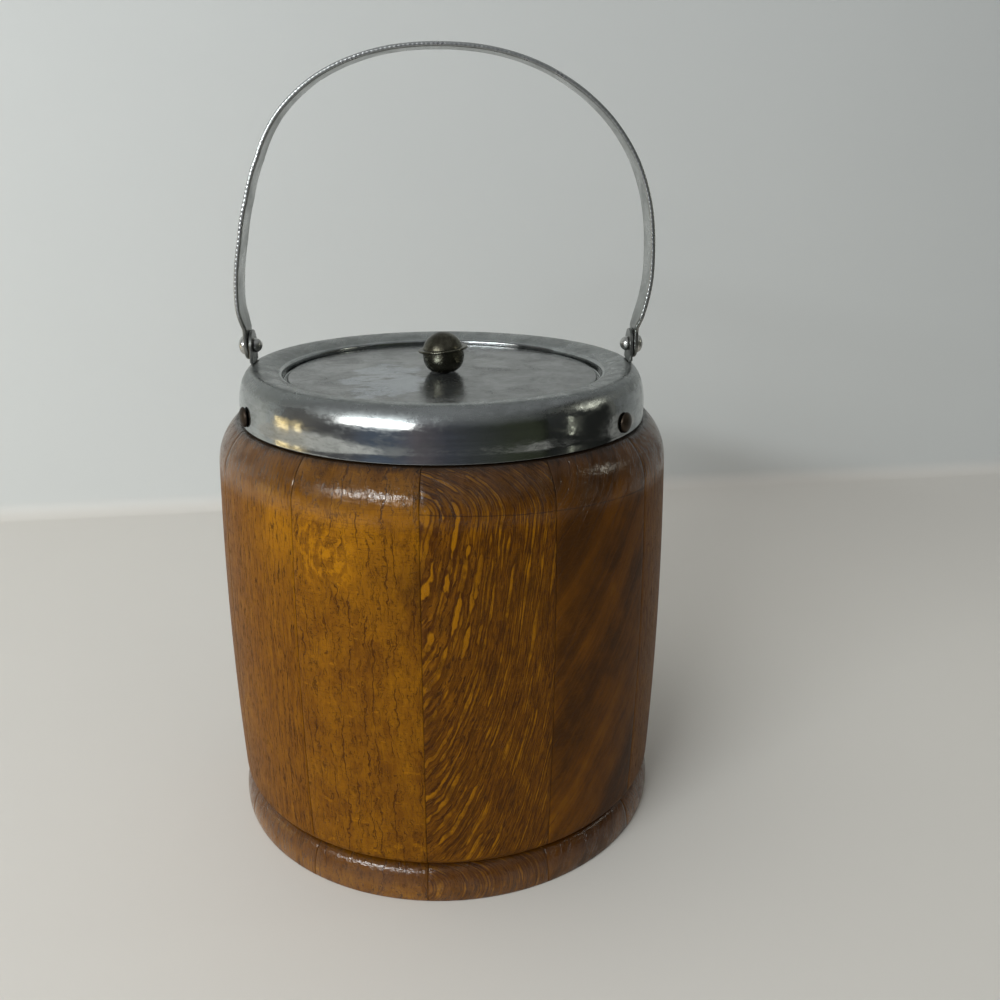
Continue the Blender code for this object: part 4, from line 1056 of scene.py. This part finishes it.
CAMERA_PLACE = (0.0, -0.30872, 0.21387)
CAMERA_LENS = 33.85
CAMERA_PITCH_DEG = 19.3055
CAMERA_YAW_DEG = 3.5205
CAMERA_ROLL_DEG = 0.3351
WALL_DISTANCE = 0.307
WALL_TURN_DEG = 5.8
WALL_TOP = 1.1
FLOOR_FRONT = -0.45
STAGE_REACH = 1.6
COVE_RADIUS = 0.010
FLOOR_COLOUR = (0.70, 0.67, 0.62)
WALL_COLOUR = (0.68, 0.695, 0.68)
FLAG_COLOUR = (0.016, 0.017, 0.015)
FLAG_X, FLAG_FRONT, FLAG_BACK, FLAG_TOP = 0.45, -0.33, 0.05, 0.5
CEILING_TONE = (0.40, 0.41, 0.42)
ROOM_TONES = (
    (-180.0, (0.22, 0.22, 0.22)), (-112.0, (0.26, 0.26, 0.25)), (-78.0, (0.20, 0.19, 0.18)),
    (-52.0, (0.15, 0.15, 0.16)), (-38.0, (0.16, 0.20, 0.27)), (-27.0, (0.15, 0.18, 0.24)),
    (-15.0, (0.21, 0.185, 0.20)), (2.0, (0.09, 0.095, 0.115)), (36.0, (0.07, 0.078, 0.054)),
    (52.0, (0.06, 0.068, 0.044)), (58.0, (0.008, 0.008, 0.008)), (78.0, (0.008, 0.008, 0.008)),
    (86.0, (0.09, 0.09, 0.08)), (100.0, (0.16, 0.16, 0.14)), (130.0, (0.22, 0.22, 0.21)))
LAMP_AIM_HEIGHT = 0.12
# each lamp's name, azimuth, elevation, distance, size, power and colour, and whether metal shows it
LAMPS = (
    ("window", -38.0, 20.0, 1.3, (0.95, 0.26), 4.2, (1.0, 0.98, 0.95), True),
    ("window_middle", -36.0, 23.0, 1.28, (0.66, 0.08), 7.5, (0.90, 0.97, 1.0), True),
    ("side", 84.5, 22.0, 0.42, (0.06, 0.03), 0.07, (1.0, 0.99, 0.84), True),
    ("side_strip", 66.5, 4.0, 0.42, (0.014, 0.15), 0.010, (1.0, 1.0, 0.80), True),
    ("warm_pane", -93.0, -3.0, 0.80, (0.14, 0.14), 0.130, (1.0, 0.74, 0.32), True),
    ("warm_pane_narrow", -81.0, -2.0, 0.80, (0.07, 0.14), 0.070, (1.0, 0.78, 0.40), True),
    ("ceiling", -85.0, 62.0, 1.5, (1.6, 1.2), 6.7, (1.0, 0.99, 0.97), False))


def add_camera():
    """The camera at the photograph's angle."""
    pitch, yaw, roll = (math.radians(a) for a in (CAMERA_PITCH_DEG, CAMERA_YAW_DEG, CAMERA_ROLL_DEG))
    forward = Vector((math.sin(yaw) * math.cos(pitch), math.cos(yaw) * math.cos(pitch), -math.sin(pitch)))
    right = Vector((math.cos(yaw), -math.sin(yaw), 0.0))
    up = right.cross(forward)
    right, up = right * math.cos(roll) + up * math.sin(roll), up * math.cos(roll) - right * math.sin(roll)
    data = bpy.data.cameras.new("camera")
    data.lens = CAMERA_LENS
    data.sensor_width = 36.0
    data.clip_start = 0.01
    camera = bpy.data.objects.new("camera", data)
    camera.matrix_world = Matrix((
        (right.x, up.x, -forward.x, CAMERA_PLACE[0]), (right.y, up.y, -forward.y, CAMERA_PLACE[1]),
        (right.z, up.z, -forward.z, CAMERA_PLACE[2]), (0.0, 0.0, 0.0, 1.0)))
    bpy.context.scene.collection.objects.link(camera)
    bpy.context.scene.camera = camera


def paper(name, floor_colour, wall_colour):
    """Plain matt board: one tone on the floor, another up the wall, and open when seen from behind."""
    f = Finish(name)
    fine = f.noise(f.point, 0.8, detail=3.0)
    colour = f.blend(f.band(f.z, 0.0, 12.0), floor_colour, wall_colour)
    dimmed = f.blend(1.0, colour, (0.93, 0.93, 0.93), 'MULTIPLY')
    shaded = f.blend(f.noise(f.point, 0.006, detail=3.0) * 0.5, colour, dimmed)
    f.set(Base_Color=shaded, Roughness=fine * 0.1 + 0.5, Normal=f.bump(fine, 0.05, 0.0001),
          Specular_IOR_Level=0.3)
    sides = {0: f.add('NewGeometry', {}, "Backfacing"), 1: Value(f, f.shader.outputs[0]),
             2: f.add('BsdfTransparent', {})}
    f.put(f.tree.nodes["Material Output"].inputs["Surface"], f.add('MixShader', sides))
    return f.material


def add_stage():
    """Floor and backdrop in one sweep with a small cove, and a dark flag to the right, which only shows in
    the chrome."""
    run = path((FLOOR_FRONT, 0.0), (WALL_DISTANCE - COVE_RADIUS, 0.0),
               rounded(WALL_DISTANCE - COVE_RADIUS, COVE_RADIUS, COVE_RADIUS, -90.0, 0.0, 10)[1:],
               (WALL_DISTANCE, WALL_TOP))
    reach = np.array([STAGE_REACH, -STAGE_REACH])[None, :]
    grid = spread(reach, run[:, :1], run[:, 1:])
    grid = placed(grid, Matrix.Rotation(math.radians(WALL_TURN_DEG), 4, 'Z'))
    sweep = bpy.data.objects.new("floor", mesh_from("floor", [grid], closed=False, smooth_deg=60.0))
    sweep.data.materials.append(paper("floor_paper", FLOOR_COLOUR, WALL_COLOUR))
    flag_grid = np.array([[[FLAG_X, FLAG_FRONT, z], [FLAG_X, FLAG_BACK, z]] for z in (0.0, FLAG_TOP)])
    flag = bpy.data.objects.new("flag", mesh_from("flag", [flag_grid], closed=False))
    flag.data.materials.append(paper("flag_felt", FLAG_COLOUR, FLAG_COLOUR))
    flag.visible_camera = False
    for piece in (sweep, flag):
        bpy.context.scene.collection.objects.link(piece)


def add_lamp(name, azimuth_deg, elevation_deg, distance, size, power, colour, in_metal):
    """A soft lamp that faces the barrel's middle from a direction."""
    azimuth, elevation = math.radians(azimuth_deg), math.radians(elevation_deg)
    away = Vector((math.sin(azimuth) * math.cos(elevation), -math.cos(azimuth) * math.cos(elevation),
                   math.sin(elevation)))
    data = bpy.data.lights.new(name, 'AREA')
    data.shape = 'RECTANGLE'
    data.size, data.size_y = size
    data.energy = power
    data.color = colour
    lamp = bpy.data.objects.new(name, data)
    lamp.location = away * distance + Vector((0.0, 0.0, LAMP_AIM_HEIGHT))
    lamp.rotation_euler = away.to_track_quat('Z', 'Y').to_euler()
    lamp.visible_camera = False
    lamp.visible_glossy = in_metal
    bpy.context.scene.collection.objects.link(lamp)


def add_lights():
    """Lamps like a window at the front left, a soft one above, small ones that glint in the chrome, and a dim
    room whose tone changes with the azimuth and brightens towards the ceiling."""
    for lamp in LAMPS:
        add_lamp(*lamp)
    world = bpy.data.worlds.new("room")
    bpy.context.scene.world = world
    world.use_nodes = True
    room = Nodes(world.node_tree)
    x, y, z = room.split(room.add('TexCoord', {}, "Generated"))
    turn = room.math('MULTIPLY_ADD', room.math('ARCTAN2', x, y * -1.0), 0.5 / math.pi, 0.5)
    around = room.ramp(turn, [(azimuth / 360.0 + 0.5, tone) for azimuth, tone in ROOM_TONES])
    rise = room.band(z, 0.26, 0.78, kind='LINEAR')
    room.put(room.tree.nodes["Background"].inputs["Color"], room.blend(rise, around, CEILING_TONE))


def build():
    """Every piece, the stage, the lights and the camera."""
    add_camera()
    add_stage()
    add_lights()
    add_staves()
    add_bottom_board()
    add_liner()
    add_collar(worn_metal("collar_chrome", (0.42, 0.44, 0.44), (0.20, 0.21, 0.205), 0.15, 0.6, 0.35,
                          polished_below=150.5, dented=5.0))
    add_nails(worn_metal("nail_brass", (0.058, 0.044, 0.032), (0.030, 0.022, 0.017), 0.36, 0.8, 0.4, False))
    add_lid(worn_metal("lid_chrome", (0.224, 0.234, 0.231), (0.094, 0.099, 0.096), 0.08, 1.0, 0.40,
                       dented=5.0, streaks_and_sheen=0.75, metallic=0.8))
    add_knob(worn_metal("knob_brass", (0.125, 0.120, 0.090), (0.026, 0.022, 0.016), 0.20, 1.0, 0.9,
                        dented=3.0, relief=0.00045))
    steel = worn_metal("rivet_steel", (0.50, 0.50, 0.48), (0.30, 0.30, 0.28), 0.22, 0.6, 0.3, False)
    add_fastening(worn_metal("fixing_steel", (0.42, 0.42, 0.40), (0.22, 0.21, 0.19), 0.30, 0.8, 0.4))
    bail = worn_metal("bail_chrome", (0.48, 0.49, 0.48), (0.25, 0.26, 0.25), 0.22, 0.8, 0.3, False,
                      tarnished_below=168.0)
    add_ears(bail)
    add_rivets(steel)
    add_bail(bail)
    bpy.context.scene.view_settings.view_transform = 'Standard'


build()
